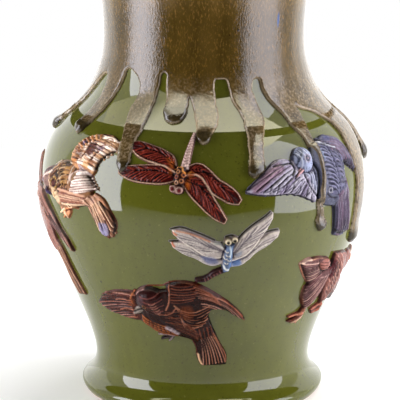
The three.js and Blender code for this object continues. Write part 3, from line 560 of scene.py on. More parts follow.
    clay.line([(-9, 6), (-8.6, 1), (-9, -5)], 0.45, -0.8, "3c2c20")
    clay.patch([(-8, 3.4), (-4, 3.4), (-4.4, -1.6), (-8, -2)], "6a4c1c", 1.0, 0.9)
    clay.hatch([(-8, 9.4), (-4, 5)], [(6, 4), (8, 1)], 4, 0.45, 0.5, "b4acbc 8c8494")
    clay.fan([(-3, 3), (-6, -4), (-9.5, -10)], [(3, 5), (8, 0), (11.6, -4)], 6, 1.1,
             "f0e8ea c4b8b6 eae0e0", crown=0.8)
    clay.hatch([(-3, 1.6), (-7, -6), (-9.5, -9)], [(5, 3.4), (9.4, -1.6), (12, -5)], 7, 0.33, -0.5,
               "5c3c2e 846454")
    clay.line([(4, 3), (8, -0.6), (13, -5.4)], 0.9, -0.3, "2a2414")
    clay.knob((-38.5, -5.5), (9, 8.8), 7.4, "7c6460")
    clay.line([(-45.6, -6), (-42, -2), (-36, 2), (-30, 5.6)], 1.1, -0.4, "3a2832")
    clay.hatch([(-44, -3), (-33, 3)], [(-41, -6), (-30, 0)], 6, 0.5, -0.5, "54404a")
    clay.line([(-43, -7), (-38, -3), (-32, 0.6)], 0.9, 0.6, "dcc8c4")
    clay.patch([(-46, -4), (-41, -3), (-40, -8), (-45, -9)], "4c3a60", 1.2, 0.9)
    clay.patch([(-46, -10.4), (-40, -9.6), (-40, -12.6), (-45, -13)], "efe4de", 1.0)
    clay.knob((-36.2, -12), (3.4, 4.4), 7.4, "281622")
    clay.patch([(-40.4, -13.4), (-33, -13), (-33.4, -17.4), (-39.6, -17.4)], "3a3054", 1.2)
    clay.pad([(-44, -8), (-47, -10), (-50.5, -14.5)], [(-42, -13), (-45, -14.5), (-50.5, -15.5)], 4.4,
             "8d7a70", edge=1.2)
    clay.fan([(-20, -9), (-18, -18)], [(4, -10), (2, -16)], 6, 1.0, "c9a08a 8f5e4e d8bca4", crown=0.6)
    clay.hatch([(-20, -10.6), (-18, -17)], [(4, -11), (2, -15.4)], 5, 0.4, -0.8, "54302a 7c4c3c")
    clay.ring((-11, -18.5), 1.7, 0.6, 0.9, "dcc4a8")
    clay.knob((-11, -18.5), (1.2, 1.2), 5.2, "5e1f1c")
    clay.pad([(-26, -18), (-26.5, -22), (-20, -28)], [(-16, -19), (-14, -23), (-17, -28.5)], 2.2, "dca07a",
             edge=1.2)
    clay.line([(-7, -20), (-14, -21), (-20, -22.6), (-24, -25)], 0.8, 0.8, "e4a078")
    clay.line([(-8, -21.6), (-16, -22.6), (-22, -24.6)], 0.45, -0.5, "7a2e16")
    clay.fan([(-18, -22), (-19, -24)], [(-26.4, -26), (-22, -29), (-18, -28.4)], 3, 0.9, "f0d2b4 c98c64",
             lift=0.6)


def diving_sparrow(clay):
    """Sparrow diving, wings to either side and tail straight down."""
    clay.pad([(4, 8), (-12, 11), (-18, 12.5), (-24.6, 11.1), (-30.3, 6.4), (-39.5, -1.3), (-47, -6.5)],
             [(5, -19), (-3.3, -15.3), (-10.1, -12.6), (-17.8, -10.7), (-24.1, -11.2), (-38, -10.2),
              (-47, -8.5)], 3.4, "9c98b0")
    clay.pad([(8, 20), (4, 8), (4, -8), (9, -20), (22, -24)],
             [(19, 22), (32, 13), (36.5, 1.4), (36, -6.2), (40, -18)], 5.0, "565a70")
    clay.pad([(14, 21), (22.6, 24.8), (30.1, 22.8), (38.5, 19.4), (43, 12), (49, 3.6), (52, -5)],
             [(18, 13), (27, 11), (34, 7), (39, 3), (44, 1), (48, -1.9), (51.5, -6)], 3.8, "544c6a")
    clay.pad([(21, -20), (22.4, -24), (24.5, -31.9), (25.5, -38), (26.5, -44)],
             [(40, -16), (40.6, -23), (43, -31), (44.5, -38), (45.5, -46)], 3.0, "72647c")
    clay.fan([(-16, 9), (-12, 3), (-4, -2), (3, -6)],
             [(-44, -6), (-37, -9), (-27, -9.5), (-17, -10), (-8, -12), (3, -17)], 10, 2.0,
             "b4b2c8 9890ac c8c6da", bow=-0.03, crown=0.5)
    clay.patch([(-44, -5), (-30, 6), (-20, 9), (-19, 6), (-30, -1), (-43, -8)], "8f6a80", 2.4, 0.75)
    clay.hatch([(-22, 9), (-22, 5)], [(-43, -5), (-40, -8)], 4, 0.36, 0.4, "b89aac 6c5064")
    clay.hatch([(-15, 9), (-11, 1), (-6, -4), (-1, -9)],
               [(-45, -6), (-33, -9), (-22, -10), (-11, -11.4), (0, -15.6)], 11, 0.36, -0.8, "1c1626",
               bow=-0.03)
    clay.hatch([(-20, 2), (-10, -3), (-1, -9)], [(-38, -8), (-22, -9), (-4, -13)], 9, 0.36, -0.5,
               "3c3450 6c6484", bow=0.05)
    clay.hatch([(-30, -4), (-14, -6), (1, -11)], [(-32, -9), (-16, -10), (-1, -14.6)], 7, 0.42, -0.6,
               "241c30")
    clay.line([(-12, 8.6), (-20, 8.2), (-26, 7.6)], 0.7, -0.9, "22202c")
    clay.line([(-14, 11.4), (-21, 12), (-27, 9), (-36, 2), (-45, -5)], 0.6, 0.5, "c9c4cc")
    clay.line([(-22, 11.2), (-30, 7), (-40, -1), (-46, -6)], 0.4, -0.6, "241c22")
    clay.line([(-47, -7.4), (-42, -9.4), (-34, -10.2), (-24, -10.8), (-14, -11.6), (-6, -14), (4, -19.4)],
              0.5, -0.4, "241a26")
    clay.fan([(14, 19), (14, 8), (15, -4), (17, -14)], [(30, 14), (32, 4), (32, -6), (32, -14)], 10, 1.5,
             "5c5c7c 4c4c6a 646482", crown=0.4)
    clay.patch([(11, 15), (16, 14), (15, -4), (12, -12)], "7c809c", 2.0, 0.6)
    clay.hatch([(13, 19), (13, 4), (14, -10)], [(21, 11), (24, -4), (25, -18)], 12, 0.42, -0.6, "2c3048",
               bow=0.12)
    clay.hatch([(22, 17), (25, 2), (26, -10)], [(29, 9), (33, -6), (33, -18)], 10, 0.42, -0.6, "343850",
               bow=0.12)
    clay.hatch([(13, 17), (13, 3), (14, -9)], [(20, 11), (23, -3), (24, -16)], 11, 0.34, 0.4,
               "8486a8 9294b4", bow=0.15)
    clay.hatch([(23, 15), (25, 1), (26, -10)], [(28, 10), (32, -5), (32, -17)], 9, 0.36, 0.5,
               "787c9a 84809a", bow=0.15)
    clay.fan([(16, 22), (20, 16), (26, 12)], [(51, -3), (48, -2), (42, 2), (35, 5)], 6, 1.7,
             "524e6a 6c5870 5a5674", bow=0.14, crown=0.7)
    clay.hatch([(16, 20), (22, 14), (28, 10)], [(51.4, -4), (46, 0), (37, 4)], 8, 0.42, -0.8, "221c2e",
               bow=0.14)
    clay.hatch([(20, 19), (26, 13)], [(44, 4), (36, 5)], 6, 0.36, 0.5, "8a84a0 8a7088", bow=0.14)
    clay.patch([(14, 24), (24, 24), (26, 19), (16, 20)], "4e5880", 1.6, 0.6)
    clay.line([(12.6, 20.4), (20, 15.6), (27, 13)], 0.5, 0.6, "b9bfce")
    clay.line([(12.4, 20.6), (15, 18.6)], 0.8, 0.3, "dfe4ee")
    clay.line([(13, 14), (13.6, 8)], 0.9, 0.4, "94a4c8")
    clay.line([(36, 4.6), (42, 0.4), (47, -1.6), (52, -6)], 0.8, -0.4, "241822")
    clay.line([(12.6, -14), (16, -16.6), (21, -18), (24, -22)], 0.6, -0.6, "2c2434")
    clay.ring((15, -12), 1.6, 0.4, 0.6, "a8a8b8")
    clay.knob((15, -12), (0.9, 0.9), 6.4, "14121c")
    clay.fan([(35, -8), (28, -14), (22, -18)], [(43.5, -44), (35, -46), (27.5, -44)], 7, 1.9,
             "705c72 503c54 5c5e78 686880", bow=0.03, crown=0.6)
    clay.hatch([(34, -12), (28, -16), (23, -20)], [(42, -44), (34, -46), (27, -43)], 12, 0.34, -0.6,
               "2e2436 46324c", bow=0.03)
    clay.hatch([(33, -10), (24, -18)], [(41, -38), (27.6, -40)], 8, 0.36, 0.5, "948ca4 847088", bow=0.03)
    clay.line([(22, -21), (24, -30), (25.2, -38), (26.4, -44)], 0.5, -0.4, "1e1826")
    clay.patch([(31, -20), (37, -18), (39, -40), (31, -42)], "4a3350", 2.4, 0.5)
    clay.patch([(30, -34), (38, -34), (39, -43), (30, -43)], "2c2634", 2.4, 0.5)
    clay.line([(26.6, -41), (31, -44), (37, -45), (42, -44)], 0.8, -0.4, "2a2630")
    clay.pad([(-9, 6), (-4, 2), (4, 2)], [(-2, -4), (3, -12), (5, -17)], 4.6, "b4bad4")
    clay.line([(-5, 0), (-3, -5), (1, -10.6), (5, -15)], 0.6, -1.0, "1c1e2c")
    clay.hatch([(-1, 1), (3, 0)], [(0, -8), (5, -12)], 3, 0.42, -0.6, "6c7492")
    clay.knob((-2.8, 9.8), (7.8, 9.2), 7.6, "a8b4d8")
    clay.hatch([(-9, 14), (-4, 17.6)], [(-9, 7), (-5, 13)], 5, 0.42, -0.5, "3a4458", bow=0.1)
    clay.hatch([(-2, 17.6), (4, 14)], [(-1, 14), (3, 10)], 4, 0.42, -0.5, "4c5670", bow=-0.1)
    clay.hatch([(-8, 5), (2, 3)], [(-7, 2), (4, 0)], 6, 0.36, -0.5, "5c6680 38405a")
    clay.hatch([(-8, 14), (2, 16)], [(-7, 5), (3, 13)], 5, 0.36, 0.4, "d8e2f6", bow=0.1)
    clay.line([(-12, 13.6), (-12.4, 9), (-11.6, 5), (-14, 0.6)], 1.0, -0.7, "0c101a")
    clay.line([(-10, 14), (-7, 18), (-1, 19.6), (4, 17)], 0.6, -0.5, "3a3220")
    clay.line([(3.6, 8), (6.4, 3), (6.7, -6), (5.2, -20)], 1.0, -1.2, "10141e")
    clay.ring((-2.5, 9.5), 2.3, 0.36, 0.3, "9a8c9c")
    clay.ring((-2.5, 9.5), 1.3, 0.55, -0.5, "241a24")
    clay.ring((-2.5, 9.5), 0.3, 0.4, 0.3, "8c6c78")
    clay.pad([(-7, 6), (-9, 4), (-13, -1)], [(-4, 2.6), (-8, 0.4), (-12.6, -2.6)], 5.0, "d8a6ac", edge=1.3)
    clay.line([(-7, 3.6), (-10, 1.4), (-12.6, -1.6)], 0.5, -1.2, "180c12")


def climbing_sparrow(clay):
    """Sparrow climbing away to the right, one wing fanned and both legs trailing."""
    clay.pad([(10, 20), (9, 10), (9, 0), (9.5, -10), (14, -20)],
             [(29, 17), (36, 8), (34, -3), (28, -12), (20, -21.5)], 4.4, "744a46")
    clay.pad([(1, 18.5), (-7.6, 20), (-16.1, 20.8), (-24.5, 18.2)],
             [(3, 7), (-3, 4), (-7, 2), (-11.7, 0.7)], 3.4, "553638")
    clay.pad([(-3, 10), (-11, 2), (-13, -5), (-12, -12), (-6, -20.5)],
             [(12, 10), (10, 3), (8, -3), (5, -10.5), (-2, -20.5)], 4.4, "54373a")
    clay.pad([(36, 0), (45, -6), (54, -14), (60, -22), (64, -31)],
             [(30, -8), (38, -17), (46, -24), (54, -30), (63, -32)], 2.4, "6c4440")
    clay.hatch([(-5, 17), (-3, 12), (-3, 7)], [(-24, 18), (-22.5, 12), (-18, 7), (-13, 1.6)], 10, 0.42,
               0.8, "b89890 8a666a", bow=0.02)
    clay.hatch([(-5, 16), (-4, 9)], [(-24, 15), (-20.4, 9.4), (-15, 4)], 8, 0.42, -0.7, "2a1518", bow=0.02)
    clay.line([(-25, 17), (-21, 11), (-16, 5), (-13, 2)], 0.6, 0.5, "a8725a")
    clay.line([(-24.6, 14.6), (-20, 8), (-14, 2)], 0.5, -0.5, "1c0c0a")
    # Painted highlight: a pale stroke along the top of the fanned wing
    clay.line([(-25, 18), (-20, 20.2), (-17, 20.4)], 0.9, 0.6, "f2d4c6")
    clay.line([(-16, 20.2), (-9, 20.2), (0, 18)], 0.5, 0.5, "a07464")
    clay.hatch([(10, 6), (4, 5), (-4, 5)], [(-1, -20), (-6, -19.6), (-12, -10), (-13, -2)], 11, 0.38, 0.8,
               "b08c8c 7c5a60 c09c98", bow=0.03)
    clay.hatch([(9, 5), (2, 4), (-5, 4)], [(-3, -20), (-9, -16), (-13, -5)], 10, 0.38, -0.6, "26121a",
               bow=0.03)
    clay.line([(6, 10), (-3, 8), (-9, 4), (-14, 0)], 0.6, -0.7, "1f0f10")
    clay.line([(-13.4, -2), (-13, -9), (-9, -17)], 0.5, 0.5, "9a6852")
    clay.knob((-2.4, 14), (7.5, 5.0), 5.8, "8d5c56")
    clay.hatch([(-8, 17), (-6, 11)], [(3, 16), (3, 11)], 4, 0.4, -0.6, "4a2624")
    clay.line([(-9, 18), (-8, 13.6), (-4, 10), (4, 9)], 0.5, -0.8, "1f0d0c")
    clay.hatch([(12, 18), (11, 4), (11, -10)], [(17, 6), (17, -6), (16, -19)], 10, 0.42, 0.6,
               "a87c74 7a5450", bow=0.06)
    clay.hatch([(18, 18), (19, 4), (18, -8)], [(24, 8), (26, -6), (22, -17)], 10, 0.42, 0.6,
               "b48c84 7a4e4a", bow=0.06)
    clay.hatch([(13, 16), (14, 2), (13, -10)], [(20, 6), (21, -6), (18, -18)], 9, 0.42, -0.7, "30171a",
               bow=0.06)
    clay.patch([(7, 16), (13, 14), (12.5, 1), (8, 2)], "42121a", 2.0)
    clay.hatch([(34, -3), (32, -8)], [(63, -28), (54, -30)], 6, 0.5, 0.7, "86605a 5a3c38", bow=0.06)
    clay.knob((38, 7), (10, 9), 3.8, "7c5450")
    clay.pad([(45, 13), (49, 14), (54, 15.5)], [(46, 7), (50, 10), (54, 14.5)], 2.6, "97857c", edge=1.2)
    clay.ring((41, 10), 1.9, 0.7, 0.8, "b98a74")
    clay.pad([(-6, -18), (-10, -24), (-16.8, -29)], [(-1, -19), (-5, -28), (-10, -32.5)], 2.4, "6a4030",
             edge=1.2)
    clay.fan([(-6, -24), (-6, -27)], [(-18, -25.5), (-17, -29), (-9, -32)], 4, 0.9, "9a6250 4e2a20 b89884",
             lift=0.5)
    clay.pad([(15, -18), (13, -23), (9.5, -27.5)], [(19.5, -19), (17.5, -25), (13, -29.5)], 2.4, "7a4a40",
             edge=1.2)
    clay.fan([(16, -22), (16, -25)], [(5, -24.5), (8, -28)], 3, 1.0, "8c5448 5e342c", lift=0.5)


def crossing_sparrow(clay):
    """Sparrow crossing the wall, one wing and its tail trailing down and right, the other wing up."""
    clay.pad([(-16, 24), (-22, 32), (-24, 42), (-20, 52)], [(-2, 26), (-4, 36), (-10, 46), (-18, 53)], 0.9,
             "6a463e", edge=0.7)
    clay.pad([(-22, 26), (-8, 26), (6, 17), (16, 3), (22, -9)],
             [(-24, 8), (-16, -2), (-4, -7), (4, -10), (10, -14)], 3.4, "86605a")
    clay.pad([(-10, 32), (8, 30), (19, 22), (27.3, 15.8), (33.5, 7.7), (40, 1), (43.5, -7)],
             [(-6, 14), (8, 14), (18, 9), (25, 4.5), (31, 0.5), (37, -4), (42.5, -8)], 3.2, "8a6660")
    clay.pad([(20, -4), (25, -10), (27, -17), (29, -27), (31, -36), (33, -43)],
             [(8, -8), (13, -15), (16, -21), (18.5, -29), (20, -38), (23, -44.5)], 2.2, "785648")
    clay.hatch([(-14, 27), (-8, 28)], [(-22, 48), (-17, 51)], 5, 0.5, 0.7, "8a645a 503430")
    clay.hatch([(0, 27), (8, 20), (14, 14)], [(42, -6), (41, -8), (33, -2), (24, 3)], 9, 0.42, 0.8,
               "b48c80 6a463e c8a498", bow=0.1)
    clay.hatch([(4, 25), (13, 16)], [(41, -5), (28, 1)], 8, 0.42, -0.8, "301a18", bow=0.1)
    clay.hatch([(-6, 29), (-4, 22), (0, 16)], [(22, 19), (20, 13), (16, 8)], 7, 0.5, 0.6, "8d6258 5c3a34",
               bow=0.08)
    clay.line([(8, 29), (19, 21.6), (27, 15.4), (33, 7.6), (40, 0.6), (43, -7)], 0.7, -0.3, "3a2620")
    clay.patch([(21, 9), (25, 9), (33, 2), (30, 1)], "43181e", 2.0, 0.8)
    clay.hatch([(10, 4), (2, -6)], [(20, -6), (10, -13)], 6, 0.5, 0.6, "8f665e 5e403c")
    clay.hatch([(21, -8), (12, -12)], [(32, -41), (24, -43.5)], 6, 0.42, 0.7, "b08c7a 6c4e42 a07e6c",
               bow=0.02)
    clay.hatch([(20, -9), (14, -12)], [(30.6, -42), (25, -43.6)], 5, 0.42, -0.7, "34201a", bow=0.02)
    clay.knob((-22, 19), (10, 9), 3.6, "74504a")
    clay.pad([(-30, 23), (-34, 22.5), (-38.5, 20.5)], [(-29, 16), (-33.5, 17.5), (-38.5, 19.5)], 4.2,
             "97857c", edge=1.2)
    clay.ring((-25, 20), 1.9, 0.7, 0.8, "b98a74")


def dragonfly_wing(clay, first, second, rise, fill, rim, vein, glint, veins, cut, sweep):
    """One wing: a thin pad with a fine raised rim and a leading vein, from which carved veins and pale
    strokes sweep back to both edges."""
    clay.pad(first, second, rise, fill, edge=1.3, roll=0.8)
    upper, lower = spline(first, 41), spline(second, 41)

    def at(share, down):
        i = int(np.clip(share, 0.0, 1.0) * 40)
        return tuple(upper[i] * (1 - down) + lower[i] * down)

    for i in range(veins):
        share = 0.02 + (1.0 - sweep) * i / veins
        uneven = 0.06 * math.sin(2.3 * i + clay.shade)
        middle, half = share + 0.4 * sweep, 0.5 / veins
        clay.line([at(share, 0.32), at(middle, 0.5 + uneven), at(share + sweep, 0.9)], 0.4, -cut, vein)
        clay.line([at(share + half, 0.36), at(middle + half, 0.6 + uneven), at(share + 0.8 * sweep, 0.84)],
                  0.3, 0.3, glint)
        clay.line([at(share, 0.3), at(share + 0.5 * sweep, 0.12 + uneven)], 0.36, -cut, vein)
        clay.line([at(share + half, 0.3), at(share + half + 0.4 * sweep, 0.16)], 0.34, 0.3, glint)
    clay.line([at(0.03, 0.4), at(0.35, 0.3), at(0.7, 0.34), at(0.95, 0.5)], 0.36, -cut, vein)
    clay.shade += 1
    clay.line(np.concatenate([upper[::4], lower[::-4]]), 0.55, 0.7, rim)


HEAD_DOWN_WINGS = (
    ([(-2.5, 3.5), (-4.4, 9.7), (-10.7, 13.8), (-20.2, 17.2), (-31.3, 18.9), (-35.4, 17)],
     [(-3, -1), (-8, 1), (-14, 3.6), (-24.7, 6.3), (-31, 9.4), (-35.4, 14)]),
    ([(-3, -1), (-6.7, 1.2), (-11.1, 3.4), (-18.3, 3.6), (-27.6, 2.8), (-36, 1.4), (-42.6, -1.4)],
     [(-2, -6), (-6, -7.5), (-12.7, -8.8), (-20, -8.9), (-28, -8.6), (-37, -6.8), (-42.6, -4)]),
    ([(2, -0.5), (6.5, 4.6), (11.1, 5.9), (19.4, 1.1), (24.3, -4.2), (32.1, -8.9), (38.2, -14.3),
      (40.5, -18.4)],
     [(3, -5), (8, -6), (12, -7.5), (18, -11.5), (22, -14.7), (27, -17.7), (33, -20.8), (38.5, -21.4)]),
    ([(2, -3.5), (8.1, -1.6), (12.8, -3), (17.6, -8.8), (21.9, -15.7), (26.6, -23.3), (30.9, -31)],
     [(2, -8.5), (4.5, -12.5), (8, -16.8), (12.6, -21.4), (18, -26.8), (23.8, -31.4), (29.2, -34)]),
)

HEAD_UP_WINGS = (
    ([(-1, -1.5), (-5, 2.2), (-9.3, 3.8), (-17.2, 7.6), (-24, 10.3), (-32.3, 12.6), (-36.4, 12.4)],
     [(-1.5, -5.5), (-6, -7), (-10.4, -7.2), (-16.2, -4.8), (-22.6, 0.4), (-29, 4), (-35.5, 9.4)]),
    ([(-1.5, -5), (-6, -6.4), (-11, -6.2), (-16.6, -4), (-23, 0.5), (-30, 3.6), (-37.2, 3.6)],
     [(-1.8, -10), (-5.5, -11.6), (-9.6, -12.7), (-14.9, -11.1), (-20.8, -7.4), (-28, -4.7), (-35.6, 0.2)]),
    ([(2.2, -3.5), (4.5, 0.2), (7.4, 6), (11.6, 10.3), (16.8, 14.4), (25, 19.3), (29.6, 22.4)],
     [(2, -9.5), (5.5, -8.6), (10.7, -6.6), (15.9, -0.9), (20.5, 5.1), (25.2, 11.5), (29.4, 19)]),
    ([(1, -9), (6, -7.6), (11, -5.4), (16, -0.6), (22, 5.4), (28.2, 9), (34.8, 9.6)],
     [(0.5, -13.2), (4, -13.6), (8.4, -13), (13.6, -9.3), (18.8, -4.3), (26.9, 0.5), (33.6, 6)]),
)


def head_down_dragonfly(clay):
    """Dragonfly with its tail up and its head down, wings dark red with cream rims."""
    for first, second in HEAD_DOWN_WINGS:
        dragonfly_wing(clay, first, second, 2.0, "380b09", "bca88c", "100202", "8a3626", 15, 0.6, 0.3)
    for root in ([(-9, 8), (-5, 6), (-5, 2)], [(4, -1), (9, -1), (7, -4)], [(-8, 2), (-6, -2), (-6, 1)],
                 [(3, -5), (6, -6), (6, -11), (4, -9)]):
        clay.patch(root, "b8641e", 2.6, 0.8)
    clay.pad([(-2, 3), (-3.5, -3), (-3.6, -9)], [(4.5, 3), (4, -3), (2.6, -10)], 4.4, "241511")
    clay.pad([(-0.5, 1), (2.7, 15.7), (5.8, 28)], [(5.6, 1), (7.1, 16.5), (8.8, 28)], 3.0, "c4b6aa",
             edge=1.3)
    for step in range(12):
        v = 4.5 + 1.95 * step
        u = 2.6 + 0.165 * v
        clay.line([(u - 2.1, v + 0.5), (u - 0.6, v - 0.5), (u - 0.3, v + 0.3)], 0.34, -0.5, "7c6a60")
        clay.line([(u + 0.4, v - 0.2), (u + 1.0, v + 0.7), (u + 1.9, v - 0.1)], 0.34, -0.5, "8d7c70")
    clay.line([(-3, 1), (-1, 2.6), (1.6, 2), (2, -0.6)], 0.55, 0.8, "c69450")
    clay.line([(-1.6, 0.4), (-0.6, 1.4), (0.6, 0.4)], 0.45, -0.5, "1c0e0c")
    clay.line([(2, -0.4), (4.4, -1.6), (7, -0.4)], 0.55, 0.7, "bd8030")
    for u, v, code in ((-0.8, -0.6, "b08458"), (2.6, -2.8, "9c6030"), (-1.8, -3.8, "84503a"),
                       (1.4, -6.4, "a87448"), (-1.8, -7.4, "b0906c")):
        clay.ring((u, v), 1.1, 0.34, 0.5, code)
        clay.ring((u, v), 0.2, 0.5, -0.4, "2c0f0a")
    clay.pad([(-6.8, -9), (-2, -8.4), (3, -10)], [(-6, -13), (-2, -15), (2.6, -14)], 4.2, "5c443a",
             edge=1.3)
    for u, v in ((-4.2, -11.3), (0.2, -12.3)):
        clay.knob((u, v), (2.5, 2.5), 5.2, "6c544a")
        clay.ring((u, v), 2.0, 0.34, 0.3, "b8a294")
        clay.ring((u, v), 0.6, 0.7, -0.3, "4c0c12")


def head_up_dragonfly(clay):
    """Dragonfly with its head up and its tail down to the left, wings white with grey veins, and dark olive
    lines painted along its upper edges as shade, where the green glaze also pools."""
    # Painted shade: dark olive lines along the upper edges of the wings and over the eyes, partly thick
    # green glaze pooled there
    for path in ([(-38, 13), (-32, 14.6), (-24, 12.4), (-17, 9.6), (-9, 5.8)], [(-38.6, 4.4), (-33, 5)],
                 [(-2, 8), (2, 9), (6.6, 6)], [(6, 6), (11, 11.6), (16, 15.6), (24, 20.6), (28, 23.6)],
                 [(24, 9.4), (29, 10.6), (34, 11)], [(-4.6, 4), (-3.6, 0)]):
        clay.line(path, 0.9, -0.1, "262a0c")
    for index, (first, second) in enumerate(HEAD_UP_WINGS):
        dragonfly_wing(clay, first, second, 2.2, "ccc4c4", "f2ece6", "726c78", "ded8d6", 9, 0.28, 0.5)
        if index == 1:
            clay.patch([(-18, -5), (-8, -7), (-6, -10), (-13, -10.6)], "7480b2", 1.6, 0.8)
    clay.patch([(2, -9), (8, -8.6), (9, -11.4), (3, -12.6)], "5c84c6", 1.6, 0.9)
    clay.patch([(4, -4), (9, -2), (8, -5.4), (5, -6)], "8090ac", 1.4, 0.7)
    clay.line([(-36, 11), (-34, 9.6)], 1.1, 0.3, "d08c6c")
    clay.line([(-34, 12.4), (-26, 10.8), (-18, 7.8), (-12, 5)], 0.6, 0.4, "cc9276")
    clay.line([(-8.6, 4), (-5.6, 3.2), (-3.6, 1)], 0.9, 0.5, "d4dcdc")
    clay.line([(-36.4, 3.4), (-35, 1.6)], 1.1, 0.3, "c4785c")
    clay.pad([(-1.6, 2.6), (-3, -4), (-3.6, -12), (-3.2, -17)], [(4, 3), (3.4, -4), (2.2, -12), (1, -17)],
             4.4, "5c7298")
    clay.line([(0.6, 2.6), (1.2, -1), (0.8, -5)], 0.7, 0.4, "b4c6dc")
    clay.line([(3.0, 2.4), (2.8, -2), (3.4, -6.6)], 0.5, -0.8, "283048")
    clay.line([(-1.6, 1), (-3.4, -3), (-4.2, -8)], 0.5, -0.8, "34406a")
    for u, v in ((-1.4, -1.6), (-0.6, -4.2), (-2.0, -6.4), (0.4, -7.6), (-1.4, -9.6)):
        clay.line([(u - 0.9, v + 0.6), (u + 0.2, v - 0.6), (u + 1.0, v + 0.4)], 0.4, 0.6, "dcd8d0")
        clay.line([(u - 0.8, v - 0.5), (u + 1.0, v - 0.7)], 0.36, -0.5, "4a4c60")
    clay.line([(-3, -11.6), (-1.6, -13.6), (0.4, -14.4)], 0.9, 0.5, "d6dce4")
    clay.line([(1.4, -10), (2, -13), (1.2, -15)], 0.8, 0.3, "5478b4")
    for u, v, size in ((-0.4, 5.4, 2.7), (3.8, 6.4, 2.3)):
        clay.knob((u, v), (size, size), 5.2, "8c8270")
        clay.ring((u - 0.2, v), 1.6, 0.42, 0.4, "e0d6be")
        clay.ring((u - 0.4, v - 0.1), 0.4, 0.8, -0.3, "14110c")
    clay.pad([(-3, -13.8), (-9, -16.4), (-14, -20.6), (-20.6, -22.4)],
             [(0, -17.4), (-7, -20.6), (-13, -24.8), (-20.6, -25.6)], 3.2, "341519", edge=1.4)
    clay.hatch([(-4, -15), (-11, -19), (-18, -22.8)], [(-3, -17.6), (-10, -21.6), (-18, -25)], 10, 0.4,
               -0.4, "12060a")
    clay.hatch([(-5, -16), (-14, -22)], [(-4.4, -17.4), (-13.6, -23.6)], 6, 0.36, 0.4, "7c4c48")


# The glaze of each slot: base colour, the thin wash over all its colours, its tint where it pools, which
# also paints the shade in its hollows, and how many times brighter it breaks in flecks, which are partly
# painted glints
GLAZES = {
    "oxblood_glaze": ("4c1712", "f0dce0", "6a5050", 2.4),
    "white_glaze": ("aaa3ac", "dad4cc", "b0a8b0", 1.2),
    "dark_brown_glaze": ("45201a", "c2aca2", "645650", 2.2),
    "cream_glaze": ("c29b78", "fff4ea", "765648", 1.2),
    "lilac_blue_glaze": ("8d8ba6", "d8d2d0", "4c4860", 1.7),
    "russet_glaze": ("7a4a44", "fff6ec", "6c5658", 1.9),
}

# Name of the node, its drawing, angle from the front, height, turn in degrees, mirroring and slot
FIGURES = (
    ("dragonfly_red", head_down_dragonfly, -7.9, 175.3, 0, 1, "oxblood_glaze"),
    ("dragonfly_white", head_up_dragonfly, 8.6, 125.2, 0, 1, "white_glaze"),
    ("sparrow_dark_brown", gliding_sparrow, -8.9, 82.7, 0, 1, "dark_brown_glaze"),
    ("sparrow_cream", raised_wing_sparrow, -43.9, 164.0, 0, 1, "cream_glaze"),
    ("sparrow_blue", diving_sparrow, 38.3, 169.4, 0, 1, "lilac_blue_glaze"),
    ("sparrow_russet_right", climbing_sparrow, 51.7, 91.7, 0, 1, "russet_glaze"),
    ("sparrow_russet_left", crossing_sparrow, -78.0, 118.0, 0, 1, "russet_glaze"),
    ("sparrow_brown_back", gliding_sparrow, 132.0, 128.0, -12, -1, "dark_brown_glaze"),
    ("sparrow_cream_back", raised_wing_sparrow, 205.0, 112.0, 18, 1, "cream_glaze"),
    ("dragonfly_white_back", head_up_dragonfly, 168.0, 168.0, 0, -1, "white_glaze"),
    ("dragonfly_red_back", head_down_dragonfly, 226.0, 172.0, 25, 1, "oxblood_glaze"),
)

# Reach of each drawing to the left, right, bottom and top of its anchor
REACH = {
    gliding_sparrow: (-67, 46, -53, 23),
    raised_wing_sparrow: (-54, 30, -40, 36),
    diving_sparrow: (-50, 55, -49, 28),
    climbing_sparrow: (-29, 67, -36, 24),
    crossing_sparrow: (-42, 47, -48, 56),
    head_down_dragonfly: (-46, 44, -37, 31),
    head_up_dragonfly: (-41, 38, -29, 26),
}

